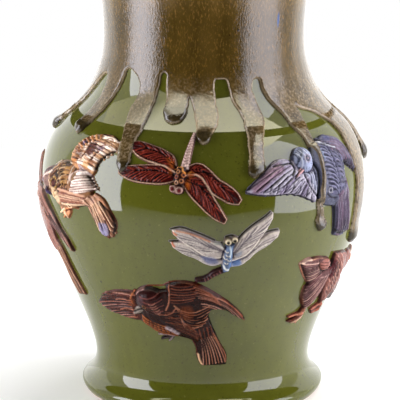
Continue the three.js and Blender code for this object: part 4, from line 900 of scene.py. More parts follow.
# Each run has a left and a right edge, from its notch with the neighbour down to its end: angle from the
# front and drop below the collar's foot. Above a notch neighbours join.
RUNS = (
    (((-103, 4), (-101, 9), (-98, 20), (-95, 32), (-92.5, 43), (-91.2, 49), (-89, 53)),
     ((-65.3, 9.6), (-69, 11), (-75, 17), (-79, 23), (-82.5, 32), (-85, 43), (-86.4, 49), (-89, 53))),
    (((-65.3, 9.6), (-63.4, 12.5), (-62.8, 18), (-62.2, 25), (-62.8, 33.4), (-63, 38.3), (-62.7, 42.2),
      (-60.9, 45.8), (-58.3, 47.5)),
     ((-45.75, 3.8), (-47, 5), (-47.6, 8.7), (-48.3, 12.7), (-49.4, 16.7), (-50.4, 20), (-51, 23.4),
      (-52.1, 27.5), (-53.4, 32.7), (-55, 37.4), (-55.6, 41), (-56.3, 45), (-58.3, 47.5))),
    (((-45.75, 3.8), (-43.3, 4.1), (-41, 6), (-38.6, 8), (-36.8, 10.5), (-35.8, 13.6), (-35.4, 17.3),
      (-35.8, 22.4), (-36.9, 27.5), (-36.8, 31.7), (-35.9, 35.7), (-34.6, 40.1), (-33.6, 43.9),
      (-32.9, 48.5), (-32.9, 52.7), (-32, 57.4), (-31, 62.1), (-29.2, 65.5)),
     ((-22.5, 3.8), (-23.4, 5.2), (-23.7, 9.7), (-24.2, 14.5), (-24.6, 20), (-25.1, 26), (-25.7, 31),
      (-26.2, 36), (-26.3, 41), (-27, 45.5), (-26.8, 50.5), (-26.8, 58), (-27.3, 62.6), (-29.2, 65.5))),
    (((-22.5, 3.8), (-21.2, 4.4), (-20.4, 9.5), (-19.7, 15.8), (-18.9, 23.1), (-19.4, 27.3),
      (-18.7, 30.8), (-16.9, 33.6), (-14, 35.1)),
     ((-7, 18.8), (-7.3, 20.4), (-7.2, 23.6), (-7.6, 27.2), (-8.5, 30.8), (-10.5, 33.9), (-14, 35.1))),
    (((-7, 18.8), (-6.5, 20.4), (-5.8, 23), (-4.9, 27.2), (-3.8, 31.8), (-3.3, 36.3), (-3.1, 40.6),
      (-2.3, 44), (-0.3, 46)),
     ((9.25, 7.5), (6.6, 7.6), (6, 9.5), (5.9, 13.7), (6, 18.7), (6.3, 22.9), (6.8, 27.1), (6.9, 31.8),
      (5.9, 35.7), (4.2, 39), (3.1, 41.9), (1.9, 44.8), (-0.3, 46))),
    (((9.25, 7.5), (11.8, 7.7), (12.6, 10), (13, 13), (13.5, 17), (14.3, 21.4), (15.6, 25.1),
      (16.9, 28.1), (17.7, 32.2), (17.8, 36.8), (17.6, 41), (17, 46.1), (16.6, 52), (16.1, 57.2),
      (15.5, 61), (15.8, 64.4), (17.6, 66.6)),
     ((29, 8), (27.3, 9), (26.8, 11), (26.2, 16), (26.7, 19.6), (27.4, 25.3), (28, 29), (27.9, 33.1),
      (26.8, 37.5), (24.8, 42), (23, 47.5), (22.4, 53), (21.9, 59), (20.4, 64), (17.6, 66.6))),
    (((29, 8), (30.6, 8.4), (31.3, 11), (31.6, 15.2), (32.9, 19.8), (34.4, 23), (36.2, 26.3),
      (38.1, 30.2), (39.2, 33.9), (39.9, 37.5), (40.8, 41.2), (41.6, 45), (42.3, 50), (43.0, 55),
      (43.1, 63), (42.3, 74), (41.6, 85), (41.9, 94), (41.8, 101), (43.6, 107)),
     ((49, 27.6), (49.9, 31.4), (49, 36.1), (47.8, 40.6), (46.6, 45.2), (46.0, 49.5), (45.5, 54),
      (45.2, 60), (44.7, 70), (44.0, 84), (44.9, 94), (46.2, 101), (45.5, 105), (43.6, 107))),
    (((49, 27.6), (52.5, 30.1), (57.4, 32.2), (61.6, 35), (64.6, 39), (66.3, 45), (65.8, 53), (65.6, 63),
      (66.4, 77), (66.2, 92), (66.8, 106), (67.6, 117), (68.8, 123), (71.5, 125.5)),
     ((86, 25), (85.7, 33), (84.5, 38), (83, 45), (80, 53), (77, 63), (74.4, 77), (73.4, 92),
      (73.6, 106), (75, 117), (74, 123), (71.5, 125.5))),
    (((86, 25), (87, 28), (88.4, 37), (88.6, 52), (88.8, 65), (89.8, 72), (92.4, 75)),
     ((103, 4), (102, 6), (101.6, 15), (101, 25), (99, 37), (97.5, 52), (97, 65), (95.4, 72), (92.4, 75))),
    (((103, 4), (104.6, 4.6), (106, 8), (107.5, 14), (110, 23), (112.5, 34), (113.5, 45), (114.6, 53),
      (117, 57)),
     ((131, 5), (129.6, 6), (128.8, 10), (127.6, 16), (126, 23), (124, 34), (122, 45), (120, 53),
      (117, 57))),
    (((131, 5), (132.6, 6), (133.6, 10), (136, 21), (137.4, 31), (138.8, 38), (143, 42)),
     ((158, 5), (156.4, 6), (155.2, 10), (152, 21), (149.6, 31), (147.6, 38), (143, 42))),
    (((158, 5), (159.6, 6), (161.4, 13), (166, 24), (168.4, 33), (170, 40), (171.8, 45), (175.4, 47.5)),
     ((189, 5), (187.6, 6.4), (186.6, 13), (184.6, 24), (182, 33), (180.4, 40), (178.8, 45),
      (175.4, 47.5))),
    (((189, 5), (190.4, 6), (191.8, 12), (195, 24), (197.6, 35), (199.6, 47), (200.4, 61), (200.9, 77),
      (202, 83), (204.3, 86)),
     ((221, 5), (219.4, 6), (217.6, 12), (213, 24), (209.6, 35), (208, 47), (207.4, 61), (207.7, 77),
      (206.4, 83), (204.3, 86))),
    (((221, 5), (222.8, 6), (224.8, 11), (229, 22), (232.4, 31), (234.8, 37), (236.6, 42), (239.6, 45)),
     ((257, 4), (255.6, 5.4), (254, 11), (250.4, 22), (247, 31), (244.4, 37), (242.4, 42), (239.6, 45))),
)

# Runs that flow over a figure, by their number, with the figure
FLOWS_OVER = {3: ("sparrow_cream", "dragonfly_red"), 7: ("sparrow_blue",)}


# Meshes

def new_mesh(name, points, quads, triangles=()):
    """A mesh from arrays of points and faces."""
    mesh = bpy.data.meshes.new(name)
    faces = [np.asarray(quads).reshape(-1, 4), np.asarray(triangles, int).reshape(-1, 3)]
    corners = np.concatenate([f.ravel() for f in faces])
    counts = np.concatenate([np.full(len(f), f.shape[1]) for f in faces])
    mesh.vertices.add(len(points))
    mesh.vertices.foreach_set("co", np.ascontiguousarray(points, np.float32).ravel())
    mesh.loops.add(len(corners))
    mesh.loops.foreach_set("vertex_index", corners.astype(np.int32))
    mesh.polygons.add(len(counts))
    mesh.polygons.foreach_set("loop_start", np.concatenate([[0], np.cumsum(counts)[:-1]]).astype(np.int32))
    mesh.update(calc_edges=True)
    mesh.validate()
    return mesh


def in_scene(name, data):
    """A new object, linked to the scene."""
    made = bpy.data.objects.new(name, data)
    bpy.context.scene.collection.objects.link(made)
    return made


def new_piece(mesh, material, slot, *nodes):
    """An object that rides on the vase's body and stands for the CAD nodes named."""
    mesh.polygons.foreach_set("use_smooth", np.ones(len(mesh.polygons), bool))
    mesh.set_sharp_from_angle(angle=math.radians(80.0))
    mesh.materials.append(material)
    piece = in_scene(mesh.name, mesh)
    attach(piece, BODY)
    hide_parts(*nodes)
    return piece


def keep_value(mesh, name, values):
    """Writes one number per point as an attribute."""
    mesh.attributes.new(name, "FLOAT", "POINT").data.foreach_set("value", values.astype(np.float32).ravel())


def keep_colour(mesh, name, rgb):
    """Writes one colour per point as an attribute."""
    full = np.concatenate([np.clip(rgb, 0.0, 1.0), np.ones((len(rgb), 1))], 1).astype(np.float32)
    mesh.attributes.new(name, "FLOAT_COLOR", "POINT").data.foreach_set("color", full.ravel())


def covered(lift):
    """The cells of a grid whose four corners all lie above the hidden edge."""
    over = lift > HIDDEN_EDGE
    return over[:-1, :-1] & over[1:, :-1] & over[:-1, 1:] & over[1:, 1:]


def round_grid(rows, columns):
    """The numbers of the points of a grid that closes on itself round the axis, and its faces."""
    index = np.arange(rows * columns).reshape(rows, columns)
    index = np.concatenate([index, index[:, :1]], 1)
    corners = (index[:-1, :-1], index[:-1, 1:], index[1:, 1:], index[1:, :-1])
    return index, np.stack(corners, -1).reshape(-1, 4)


def shell(name, top, under, cells):
    """A closed skin from a grid: the cells marked, a matching skin under them, and a strip along their
    border. Returns the mesh and the grid places of its points, which come once for the top and once for
    the back."""
    used = np.zeros(top.shape[:2], bool)
    for rows, columns in ((slice(None, -1), slice(None, -1)), (slice(None, -1), slice(1, None)),
                          (slice(1, None), slice(None, -1)), (slice(1, None), slice(1, None))):
        used[rows, columns] |= cells
    number = np.cumsum(used.ravel()).reshape(used.shape) - 1
    count = int(used.sum())
    i, j = np.nonzero(cells)
    quads = np.stack([number[i, j], number[i, j + 1], number[i + 1, j + 1], number[i + 1, j]], 1)
    around = np.pad(cells, 1)
    strips = []
    for step_i, step_j, first, second in ((-1, 0, (0, 0), (0, 1)), (0, 1, (0, 1), (1, 1)),
                                          (1, 0, (1, 1), (1, 0)), (0, -1, (1, 0), (0, 0))):
        i, j = np.nonzero(cells & ~around[1 + step_i:, 1 + step_j:][:cells.shape[0], :cells.shape[1]])
        a = number[i + first[0], j + first[1]]
        b = number[i + second[0], j + second[1]]
        strips.append(np.stack([b, a, a + count, b + count], 1))
    faces = np.concatenate([quads, quads[:, ::-1] + count] + strips)
    points = np.concatenate([top[used], under[used]])
    return new_mesh(name, points, faces), used


def figure_place(wall, figure, degrees, s):
    """The drawing's u and v at places on the wall, undoing the turn and the mirroring."""
    _, _, angle, height, turn, mirror, _ = figure
    turned = math.radians(turn)
    sideways = np.radians((degrees - angle + 180.0) % 360.0 - 180.0) * wall.at(s)[0]
    up = s - wall.s_at(height)
    across = sideways * math.cos(turned) + up * math.sin(turned)
    return mirror * across, up * math.cos(turned) - sideways * math.sin(turned)


def make_figure(wall, figure, material):
    """One figure: its drawing as a height field, wrapped round the wall, its edge sunk into the wall.
    Each point keeps its height over its neighbours as relief, by which the glaze breaks pale and pools
    dark, the dark also painted shade in the hollows."""
    name, drawing, angle, height, turn, mirror, slot = figure
    cell = wall.size["cell"]
    left, right, bottom, top = REACH[drawing]
    u, v = np.meshgrid(np.arange(left, right, cell), np.arange(bottom, top, cell))
    clay = Relief(u, v, GLAZES[slot][0])
    drawing(clay)
    # Widths over which the glaze softens the clay, its colours flow and its relief is measured
    soft_clay, soft_colour, nearby = 0.28, 0.22, 1.0
    lift = blurred(np.maximum(clay.height, -1.2), soft_clay / cell)
    rgb = blurred(clay.rgb, soft_colour / cell)
    solid = np.clip(lift / 0.8, 0.0, 1.0)
    around = blurred(lift * solid, nearby / cell) / np.maximum(blurred(solid, nearby / cell), 0.05)
    relief = (lift - around) * solid
    lift = lift + 0.1 * ripple(u, v, 5.0, 11) * (lift > 0.4)
    cells = covered(lift)
    turned = math.radians(turn)
    across = mirror * u
    s = wall.s_at(height) + across * math.sin(turned) + v * math.cos(turned)
    degrees = angle + np.degrees((across * math.cos(turned) - v * math.sin(turned)) / wall.at(s)[0])
    if mirror < 0:
        lift, degrees, s, cells, relief, rgb = (a[:, ::-1] for a in (lift, degrees, s, cells, relief, rgb))
    skins = (wall.place(degrees, s, raised) for raised in (lift, BACKING))
    mesh, used = shell(name + "_glazed", *skins, cells)
    keep_colour(mesh, "glaze_colour", np.tile(rgb[used], (2, 1)))
    keep_value(mesh, "relief", np.tile(relief[used], 2))
    return new_piece(mesh, material, slot, name)


def film_relief(wall, degrees, s):
    """Thickness of the run glaze away from its edges, slightly uneven in long strokes down the neck."""
    strokes = 0.035 * ripple(degrees * 1.2, s * 0.3, 14.0, 3)
    return wall.size["film"] * (1.0 + 0.06 * ripple(degrees * 1.2, s, 70.0, 5)) + strokes


def make_collar(wall, material):
    """The neck's glaze: a ring from the runs' top over the lip and a little way down inside."""
    # How far it reaches past the lip, and its rows and columns of points
    over_lip, rows, columns = 44.0, 120, 360
    high = wall.s_at(wall.lip[1]) + over_lip
    degrees, s = np.meshgrid(np.linspace(0.0, 360.0, columns + 1)[:-1],
                             np.linspace(wall.s_at(TOP_OF_RUNS), high, rows))
    fade = dome((high - s) / 4.0)
    lift = film_relief(wall, degrees, s) * fade - 0.6 * (1.0 - fade)
    skins = [wall.place(degrees, s, raised).reshape(-1, 3) for raised in (lift, BACKING)]
    index, skin = round_grid(rows, columns)
    total = rows * columns
    foot = np.stack([index[0, 1:], index[0, :-1], index[0, :-1] + total, index[0, 1:] + total], -1)
    head = np.stack([index[-1, :-1], index[-1, 1:], index[-1, 1:] + total, index[-1, :-1] + total], -1)
    faces = np.concatenate([skin, skin[:, ::-1] + total, foot, head])
    mesh = new_mesh("neck_glaze_ash", np.concatenate(skins), faces)
    for name in ("edge", "bead"):
        keep_value(mesh, name, np.zeros(len(mesh.vertices)))
    return new_piece(mesh, material, "ash_neck_glaze", "neck_glaze")


def make_run(wall, number, edges, material):
    """One run: a film inside the loop of its two edges, rounded along them, full where it joins its
    neighbours and the collar, and thick at its glassy end."""
    # Steps of the grid in degrees and along the wall, and points along each edge
    step_a, step_s, path_steps = 0.25, 0.45, 80
    paths = []
    for seed, edge in enumerate(edges):
        path = spline(edge, path_steps)
        waver = np.clip((path[:, 1] - path[0, 1] - 3.0) / 4.0, 0.0, 1.0)
        waver = waver * np.clip((path[-1, 1] - path[:, 1]) / 4.0, 0.0, 1.0)
        path[:, 0] += 0.22 * waver * ripple(path[:, 1], np.zeros(path_steps), 6.0, 2 * number + seed)
        paths.append(np.stack([path[:, 0], wall.s_at(TOP_OF_RUNS - path[:, 1])], 1))
    left, right = paths
    top, end = wall.s_at(TOP_OF_RUNS), left[-1, 1]
    join_left, join_right = edges[0][0][0], edges[1][0][0]
    first = join_left - math.ceil(max(0.0, join_left - left[:, 0].min() + 2.0) / step_a) * step_a
    if left[:, 0].min() >= join_left:
        first = join_left
    last = join_right if right[:, 0].max() <= join_right else right[:, 0].max() + 2.0
    degrees, s = np.meshgrid(np.arange(first, last + step_a / 2, step_a),
                             top - np.arange(0.0, top - end + 3.0, step_s))
    r = wall.at(s)[0]
    free = np.concatenate([left, right[::-1]])
    gap = np.full(s.shape, 1e9)
    for (a0, s0), (a1, s1) in zip(free[:-1], free[1:]):
        x0, x1 = np.radians(a0 - degrees) * r, np.radians(a1 - degrees) * r
        y0, y1 = s0 - s, s1 - s
        dx, dy = x1 - x0, y1 - y0
        share = np.clip(-(x0 * dx + y0 * dy) / np.maximum(dx * dx + dy * dy, 1e-9), 0.0, 1.0)
        gap = np.minimum(gap, np.hypot(x0 + share * dx, y0 + share * dy))
    loop = np.concatenate([[[join_left - 0.01, top + 1.0], [join_left - 0.01, left[0, 1]]], free,
                           [[join_right + 0.01, right[0, 1]], [join_right + 0.01, top + 1.0]]])
    inside = within(degrees, s, loop)
    # The thick end is as large as the run is wide 9 mm above its end
    near_end = end + 9.0
    width = np.radians(np.interp(near_end, right[::-1, 1], right[::-1, 0])
                       - np.interp(near_end, left[::-1, 1], left[::-1, 0])) * wall.at(near_end)[0]
    above_end = s - end
    # Below the collar a run gets fuller and slightly uneven, and its end holds a pool
    fuller, uneven, pool = 0.5, 0.05, 2.4
    bead = np.exp(-((above_end - 0.42 * width) / (0.5 * width)) ** 2)
    free_of_collar = np.clip((top - s) / 9.0, 0.0, 1.0)
    lift = film_relief(wall, degrees, s) * dome(gap / 1.5)
    lift += fuller * free_of_collar * dome(gap / 5.0) * np.clip(above_end / 20.0, 0.0, 1.0)
    lift += uneven * free_of_collar * ripple(degrees * 1.5, s * 0.5, 9.0, number) * dome(gap / 3.0)
    lift += pool * bead * dome(gap / (0.5 * width))
    for name in FLOWS_OVER.get(number, ()):
        figure = next(entry for entry in FIGURES if entry[0] == name)
        u, v = figure_place(wall, figure, degrees, s)
        clay = Relief(u, v, "000000", fine=False)
        figure[1](clay)
        over = blurred(np.maximum(clay.height, 0.0), 2.0)
        over = over * dome(gap / 1.2) + 0.45 + 0.7 * dome(gap / 2.0)
        lift = np.where(inside, np.maximum(lift, over), lift)
    lift = np.where(inside, lift, -1.6 * gap)
    degrees, s, lift, gap, bead = (part[::-1] for part in (degrees, s, lift, gap, bead))
    name = f"glaze_run_{number:02d}"
    skins = (wall.place(degrees, s, raised) for raised in (lift, BACKING))
    mesh, used = shell(name + "_film", *skins, covered(lift))
    keep_value(mesh, "edge", np.tile(np.exp(-gap / 1.1)[used], 2))
    keep_value(mesh, "bead", np.tile(bead[used], 2))
    return new_piece(mesh, material, "run_glaze", name)


def make_body(wall, sides, material):
    """The thrown body: its closed profile turned round the axis, with a pole in the floor above and
    below, and a faint unevenness of the potter's hand."""
    foot = wall.size["foot_radius"]
    ring = foot - 9.5
    under = np.array([[0.0, RECESS], [ring * 0.5, RECESS], [ring - 2.5, RECESS], [ring - 1.2, 3.4],
                      [ring - 0.2, 0.6], [ring + 0.8, 0.0], [foot - 0.6, 0.0]])
    # Rows of points: close together on the foot and round the lip, wider apart on the wall and inside
    lip_foot = wall.s_at(wall.lip[1] - 5.0)
    stops = (wall.s[3], wall.s_at(30.0), lip_foot, lip_foot + 24.0, wall.s[-1])
    picks = [np.linspace(start, stop, count + 1)[:-1]
             for start, stop, count in zip(stops, stops[1:], (25, 129, 21))]
    picks.append(np.linspace(stops[-2], stops[-1], 70))
    side = np.stack(wall.at(np.concatenate(picks))[:2], 1)
    low = side[-1]
    turn = np.linspace(0.0, math.pi / 2, 8)[1:]
    floor = np.stack([low[0] - FILLET * (1 - np.cos(turn)), FLOOR + FILLET * (1 - np.sin(turn))], 1)
    floor[:, 1] += np.linspace(low[1] - FLOOR - FILLET, 0.0, len(turn))
    inner = np.array([[floor[-1, 0] * 0.66, FLOOR], [floor[-1, 0] * 0.33, FLOOR], [0.0, FLOOR]])
    profile = np.concatenate([under, side, floor, inner])
    rows = profile[1:-1]
    angle = np.linspace(0.0, math.tau, sides, endpoint=False)
    r, z = rows[:, :1], rows[:, 1:]
    above_foot = np.clip((z - 8.0) / 20.0, 0.0, 1.0)
    uneven = 0.10 * ripple(np.degrees(angle)[None, :] * 2.0, z, 60.0, 21) * above_foot
    seam = 0.5 - 0.5 * np.cos(angle)[None, :]
    radius = r + uneven * seam
    z_all = np.broadcast_to(z, radius.shape)
    points = np.stack([radius * np.sin(angle), -radius * np.cos(angle), z_all], -1)
    count = len(rows)
    index, quads = round_grid(count, sides)
    bottom, top = count * sides, count * sides + 1
    lower = np.stack([np.full(sides, bottom), index[0, 1:], index[0, :-1]], -1)
    upper = np.stack([np.full(sides, top), index[-1, :-1], index[-1, 1:]], -1)
    every = np.concatenate([points.reshape(-1, 3), [[0, 0, RECESS], [0, 0, FLOOR]]]) * MM
    mesh = new_mesh("vase_body_thrown", every, quads, np.concatenate([lower, upper]))
    bare = np.repeat((np.arange(count) < len(under) + 2).astype(float), sides)
    keep_value(mesh, "bare", np.concatenate([bare, [1.0, 0.0]]))
    return new_piece(mesh, material, "green_glazed_stoneware", "vase_body")


# Materials

# Marks in the neck's glaze: place in metres, stretch, radius and colour. A blue streak and two pinholes
MARKS = (
    ((0.0493, -0.0494, 0.2669), (1.0, 1.0, 0.2), 0.0013, "143c74"),
    ((0.0359, -0.0597, 0.2639), (1.0, 1.0, 1.0), 0.0011, "0c0805"),
    ((0.0225, -0.0658, 0.2619), (1.0, 1.0, 1.0), 0.0011, "0c0805"),
)


def feed(tree, node, inputs):
    """Gives a node's sockets, by name or number, each a value, a socket or the first output of a node."""
    for key, value in inputs.items():
        if isinstance(value, bpy.types.Node):
            value = value.outputs[0]
        if isinstance(value, bpy.types.NodeSocket):
            tree.links.new(value, node.inputs[key])
        else:
            node.inputs[key].default_value = value


def add(tree, kind, inputs=None, **settings):
    """Adds a node: its own settings, then its sockets."""
    made = tree.nodes.new(kind)
    for key, value in settings.items():
        setattr(made, key, value)
    feed(tree, made, inputs or {})
    return made


def stained(tree, base, colour, pattern, low, high, strength=1.0):
    """A base colour with another laid over it where a pattern goes from low to high, up to a strength."""
    share = add(tree, "ShaderNodeMapRange",
                {"Value": pattern, "From Min": low, "From Max": high, "To Max": strength})
    return add(tree, "ShaderNodeMix", {0: share, 6: base, 7: colour}, data_type="RGBA").outputs[2]


def cleared(owner):
    """The tree of a material or of the world, switched on and emptied."""
    owner.use_nodes = True
    owner.node_tree.nodes.clear()
    return owner.node_tree


def start_material(name):
    """A material and its tree, with its shader joined to its output, and the place it is read at."""
    material = bpy.data.materials.new(name)
    tree = cleared(material)
    shader = add(tree, "ShaderNodeBsdfPrincipled")
    add(tree, "ShaderNodeOutputMaterial", {"Surface": shader})
    place = add(tree, "ShaderNodeTexCoord").outputs["Object"]
    return material, tree, shader, place


def green_glaze(colours):
    """Olive green ash glaze over stoneware, dipped and fired: a deep, wet gloss that mirrors the lamps
    with sharp edges, slightly paler in broad clouds, with specks and rare pinholes. The foot's clay is
    bare."""
    material, tree, shader, place = start_material("olive_ash_glaze_on_stoneware")
    drawn = add(tree, "ShaderNodeMapping", {"Vector": place, "Scale": (1.0, 1.0, 0.2)})
    # Grain in metres and detail of each pattern. The iron specks of 0.5 mm are drawn at 1 mm so that they
    # show
    clouds, streaks, specks, grit, swell = (
        add(tree, "ShaderNodeTexNoise", {"Vector": where, "Scale": 1 / grain, "Detail": detail})
        for where, grain, detail in ((place, 0.035, 3.0), (drawn, 0.006, 3.0), (place, 0.0016, 1.0),
                                     (place, 0.0012, 4.0), (place, 0.02, 2.0)))
    base = stained(tree, tuple(colours.green), rgba("4e4f16"), clouds, 0.3, 0.7)
    base = stained(tree, base, rgba("3d3e0d"), streaks, 0.45, 0.75, 0.3)
    base = stained(tree, base, rgba("241c08"), specks, 0.66, 0.74, 0.5)
    base = stained(tree, base, rgba("7a7440"), specks, 0.30, 0.22, 0.35)
    bare = add(tree, "ShaderNodeAttribute", attribute_name="bare").outputs["Fac"]
    clay = stained(tree, tuple(colours.clay), rgba("7d5c48"), grit, 0.3, 0.7)
    base = add(tree, "ShaderNodeMix", {0: bare, 6: base, 7: clay}, data_type="RGBA").outputs[2]
    rough = add(tree, "ShaderNodeMapRange", {"Value": bare, "To Min": 0.045, "To Max": 0.8})
    bump = add(tree, "ShaderNodeBump", {"Height": swell, "Strength": 0.05, "Distance": 0.002})
    feed(tree, shader, {"Base Color": base, "Roughness": rough, "Normal": bump, "IOR": 1.5})
    return material


def ash_glaze(name, colours):
    """Thick brown ash glaze run down from the neck: glassy, with fine amber flecks drawn out downwards, a
    pale line along its edges, partly where it thins and partly a painted highlight, and a dark, clear pool
    at the end of each run."""
    material, tree, shader, place = start_material(name)
    height = add(tree, "ShaderNodeSeparateXYZ", {0: place}).outputs[2]
    along = add(tree, "ShaderNodeMapping", {"Vector": place, "Scale": (1.0, 1.0, 0.4)})
    # Grain in metres, detail and roughness. The amber flecks of 0.4 mm are drawn at 0.8 mm so that they
    # show
    flecks, broad, blotch, blots = (
        add(tree, "ShaderNodeTexNoise",
            {"Vector": where, "Scale": 1 / grain, "Detail": detail, "Roughness": rough})
        for where, grain, detail, rough in ((along, 0.0011, 3.0, 0.6), (along, 0.012, 3.0, 0.5),
                                            (place, 0.0017, 4.0, 0.5), (place, 0.005, 3.0, 0.5)))
    dark = stained(tree, tuple(colours.neck), rgba("3a2c0c"), broad, 0.35, 0.65)
    dark = stained(tree, dark, rgba("6e5022"), flecks, 0.52, 0.70, 0.75)
    upper = stained(tree, rgba("6a5226"), rgba("54401a"), broad, 0.35, 0.65)
    upper = stained(tree, upper, rgba("8c6a34"), flecks, 0.50, 0.70, 0.75)
    dark = stained(tree, dark, upper, height, 0.268, 0.296)
    run = stained(tree, tuple(colours.run), rgba("463820"), broad, 0.35, 0.65)
    run = stained(tree, run, rgba("94806a"), blotch, 0.51, 0.64, 0.45)
    run = stained(tree, run, rgba("2c1f0e"), blotch, 0.46, 0.36, 0.7)
    base = stained(tree, dark, run, height, 0.234, 0.216)
    edge = add(tree, "ShaderNodeAttribute", attribute_name="edge").outputs["Fac"]
    blot = add(tree, "ShaderNodeMapRange",
               {"Value": blots, "From Min": 0.35, "From Max": 0.65, "To Min": 0.6})
    # The pale line along the edges is partly thinner glaze and partly a painted highlight where the rounded
    # edge catches the light
    thin_edge_and_glint = add(tree, "ShaderNodeMath", {0: edge, 1: blot}, operation="MULTIPLY")
    base = stained(tree, base, rgba("a8957c"), thin_edge_and_glint, 0.30, 0.60, 0.7)
    base = stained(tree, base, rgba("3c3018"), edge, 0.80, 0.95)
    bead = add(tree, "ShaderNodeAttribute", attribute_name="bead").outputs["Fac"]
    base = stained(tree, base, rgba("2a220f"), bead, 0.35, 0.8, 0.92)
    for spacing, code, low, high, strength in ((0.009, "2a1c0e", 0.08, 0.05, 0.8),
                                               (0.0045, "33240f", 0.12, 0.06, 0.7)):
        pits = add(tree, "ShaderNodeTexVoronoi", {"Vector": place, "Scale": 1 / spacing})
        base = stained(tree, base, rgba(code), pits, low, high, strength)
    for spot, shape, radius, code in MARKS:
        apart = add(tree, "ShaderNodeVectorMath", {0: place, 1: spot}, operation="SUBTRACT")
        apart = add(tree, "ShaderNodeVectorMath", {0: apart, 1: shape}, operation="MULTIPLY")
        apart = add(tree, "ShaderNodeVectorMath", {0: apart}, operation="LENGTH").outputs["Value"]
        base = stained(tree, base, rgba(code), apart, radius, radius * 0.5, 0.9)
    bump = add(tree, "ShaderNodeBump", {"Height": flecks, "Strength": 0.3, "Distance": 0.0006})
    feed(tree, shader, {"Base Color": base, "Normal": bump, "Roughness": 0.09, "IOR": 1.5})
    return material


def figure_glaze(name, wash, pool_and_shade_tint, breaks):
    """Brushed glaze on modelled clay: it breaks pale over the ridges and pools dark in the cuts between
    feathers or veins, a dark that is also painted shade in those hollows. It is mottled by the brush, and
    its brightest flecks are partly painted glints."""
    material, tree, shader, place = start_material(name)
    paint = add(tree, "ShaderNodeAttribute", attribute_name="glaze_colour").outputs["Color"]
    paint = add(tree, "ShaderNodeVectorMath", {0: paint, 1: linear(wash)}, operation="MULTIPLY")
    relief = add(tree, "ShaderNodeAttribute", attribute_name="relief").outputs["Fac"]
    mottle = add(tree, "ShaderNodeTexNoise",
                 {"Vector": place, "Scale": 1 / 0.0022, "Detail": 4.0, "Roughness": 0.65})
    pale = add(tree, "ShaderNodeVectorMath", {0: paint, "Scale": 1.2}, operation="SCALE")
    fleck_and_glint = add(tree, "ShaderNodeVectorMath", {0: paint, "Scale": breaks}, operation="SCALE")
    dark = add(tree, "ShaderNodeVectorMath", {0: paint, 1: linear(pool_and_shade_tint)}, operation="MULTIPLY")
    fine = add(tree, "ShaderNodeTexNoise", {"Vector": place, "Scale": 1 / 0.0011, "Detail": 2.0})
    base = stained(tree, paint, dark, mottle, 0.45, 0.65, 0.4)
    base = stained(tree, base, dark, fine, 0.42, 0.30, 0.75)
    # Partly painted glints: the brightest spots of the fine noise, several times paler than the paint,
    # partly pale flecks in the glaze
    base = stained(tree, base, fleck_and_glint, fine, 0.58, 0.70, 0.7)
    base = stained(tree, base, pale, relief, 0.12, 0.45, 0.8)
    # Painted shade and pooled glaze: darker in the cuts between raised parts, by how deep the relief lies
    base = stained(tree, base, dark, relief, -0.08, -0.40, 0.85)
    bump = add(tree, "ShaderNodeBump", {"Height": mottle, "Strength": 0.35, "Distance": 0.0007})
    # Thin and dull with iron, it mirrors less than the poured glaze does
    feed(tree, shader, {"Base Color": base, "Normal": bump, "Specular IOR Level": 0.14, "Roughness": 0.22,
                        "IOR": 1.45})
    return material


# The stage

def stage_piece(mesh, material):
    """An object that belongs to the stage and not to the vase."""
    mesh.materials.append(material)
    made = in_scene(mesh.name, mesh)
    return made


def flat_mesh(name, corners, material):
    """A rectangle of four corners in metres, as part of the stage."""
    return stage_piece(new_mesh(name, np.array(corners, float), [[0, 1, 2, 3]]), material)


def glow(name, strength, tint, dim):
    """A plain light-giving cloth, white or nearly so, which may be dimmer left of x -0.38 m."""
    material = bpy.data.materials.new(name)
    tree = cleared(material)
    place = add(tree, "ShaderNodeTexCoord").outputs["Object"]
    x = add(tree, "ShaderNodeSeparateXYZ", {0: place}).outputs[0]
    share = add(tree, "ShaderNodeMapRange", {"Value": x, "From Min": -0.58, "From Max": -0.38,
                                             "To Min": dim * strength, "To Max": strength})
    light = add(tree, "ShaderNodeEmission", {"Color": (*tint, 1.0), "Strength": share})
    add(tree, "ShaderNodeOutputMaterial", {"Surface": light})
    return material


def black_below(name):
    """Nearly black on the side that faces down and clear on the other."""
    material = bpy.data.materials.new(name)
    tree = cleared(material)
    back = add(tree, "ShaderNodeNewGeometry").outputs["Backfacing"]
    clear = add(tree, "ShaderNodeBsdfTransparent")
    dark = add(tree, "ShaderNodeEmission", {"Color": (1, 1, 1, 1), "Strength": 0.03})
    both = add(tree, "ShaderNodeMixShader", {0: back, 1: clear, 2: dark})
    add(tree, "ShaderNodeOutputMaterial", {"Surface": both})
    return material


def only_mirrored(made):
    """Leaves an object to be seen in reflections alone."""
    for ray in ("camera", "diffuse", "shadow", "transmission", "volume_scatter"):
        setattr(made, "visible_" + ray, False)


def behind(tree, place):
    """How bright the glaze sees the room in each direction round the vase: dark in front, white at the
    sides and nearly twice that from 120 degrees back. It reads y over the level distance, the cosine of
    the turn from the back. Returned with it are y and the level distance."""
    parts = add(tree, "ShaderNodeSeparateXYZ", {0: place})
    flat = add(tree, "ShaderNodeCombineXYZ", {0: parts.outputs[0], 1: parts.outputs[1]})
    level = add(tree, "ShaderNodeVectorMath", {0: flat}, operation="LENGTH").outputs["Value"]
    back = add(tree, "ShaderNodeMath", {0: parts.outputs[1], 1: level}, operation="DIVIDE")
    white, extra = (
        add(tree, "ShaderNodeMapRange",
            {"Value": back, "From Min": low, "From Max": high, "To Min": dark, "To Max": bright})
        for low, high, dark, bright in ((-0.45, -0.3, 0.03, 1.0), (0.47, 0.50, 0.0, 0.9)))
    return add(tree, "ShaderNodeMath", {0: white, 1: extra}), parts.outputs[1], level


# The table in metres: half its width, where its shadows fade out, where its front edge lies for the
# glaze, and its own glow
TABLE_HALF = 3
SHADOW_REACH = (0.35, 0.9)
FRONT_EDGE = (-0.565, -0.575)
TABLE_GLOW = 0.1


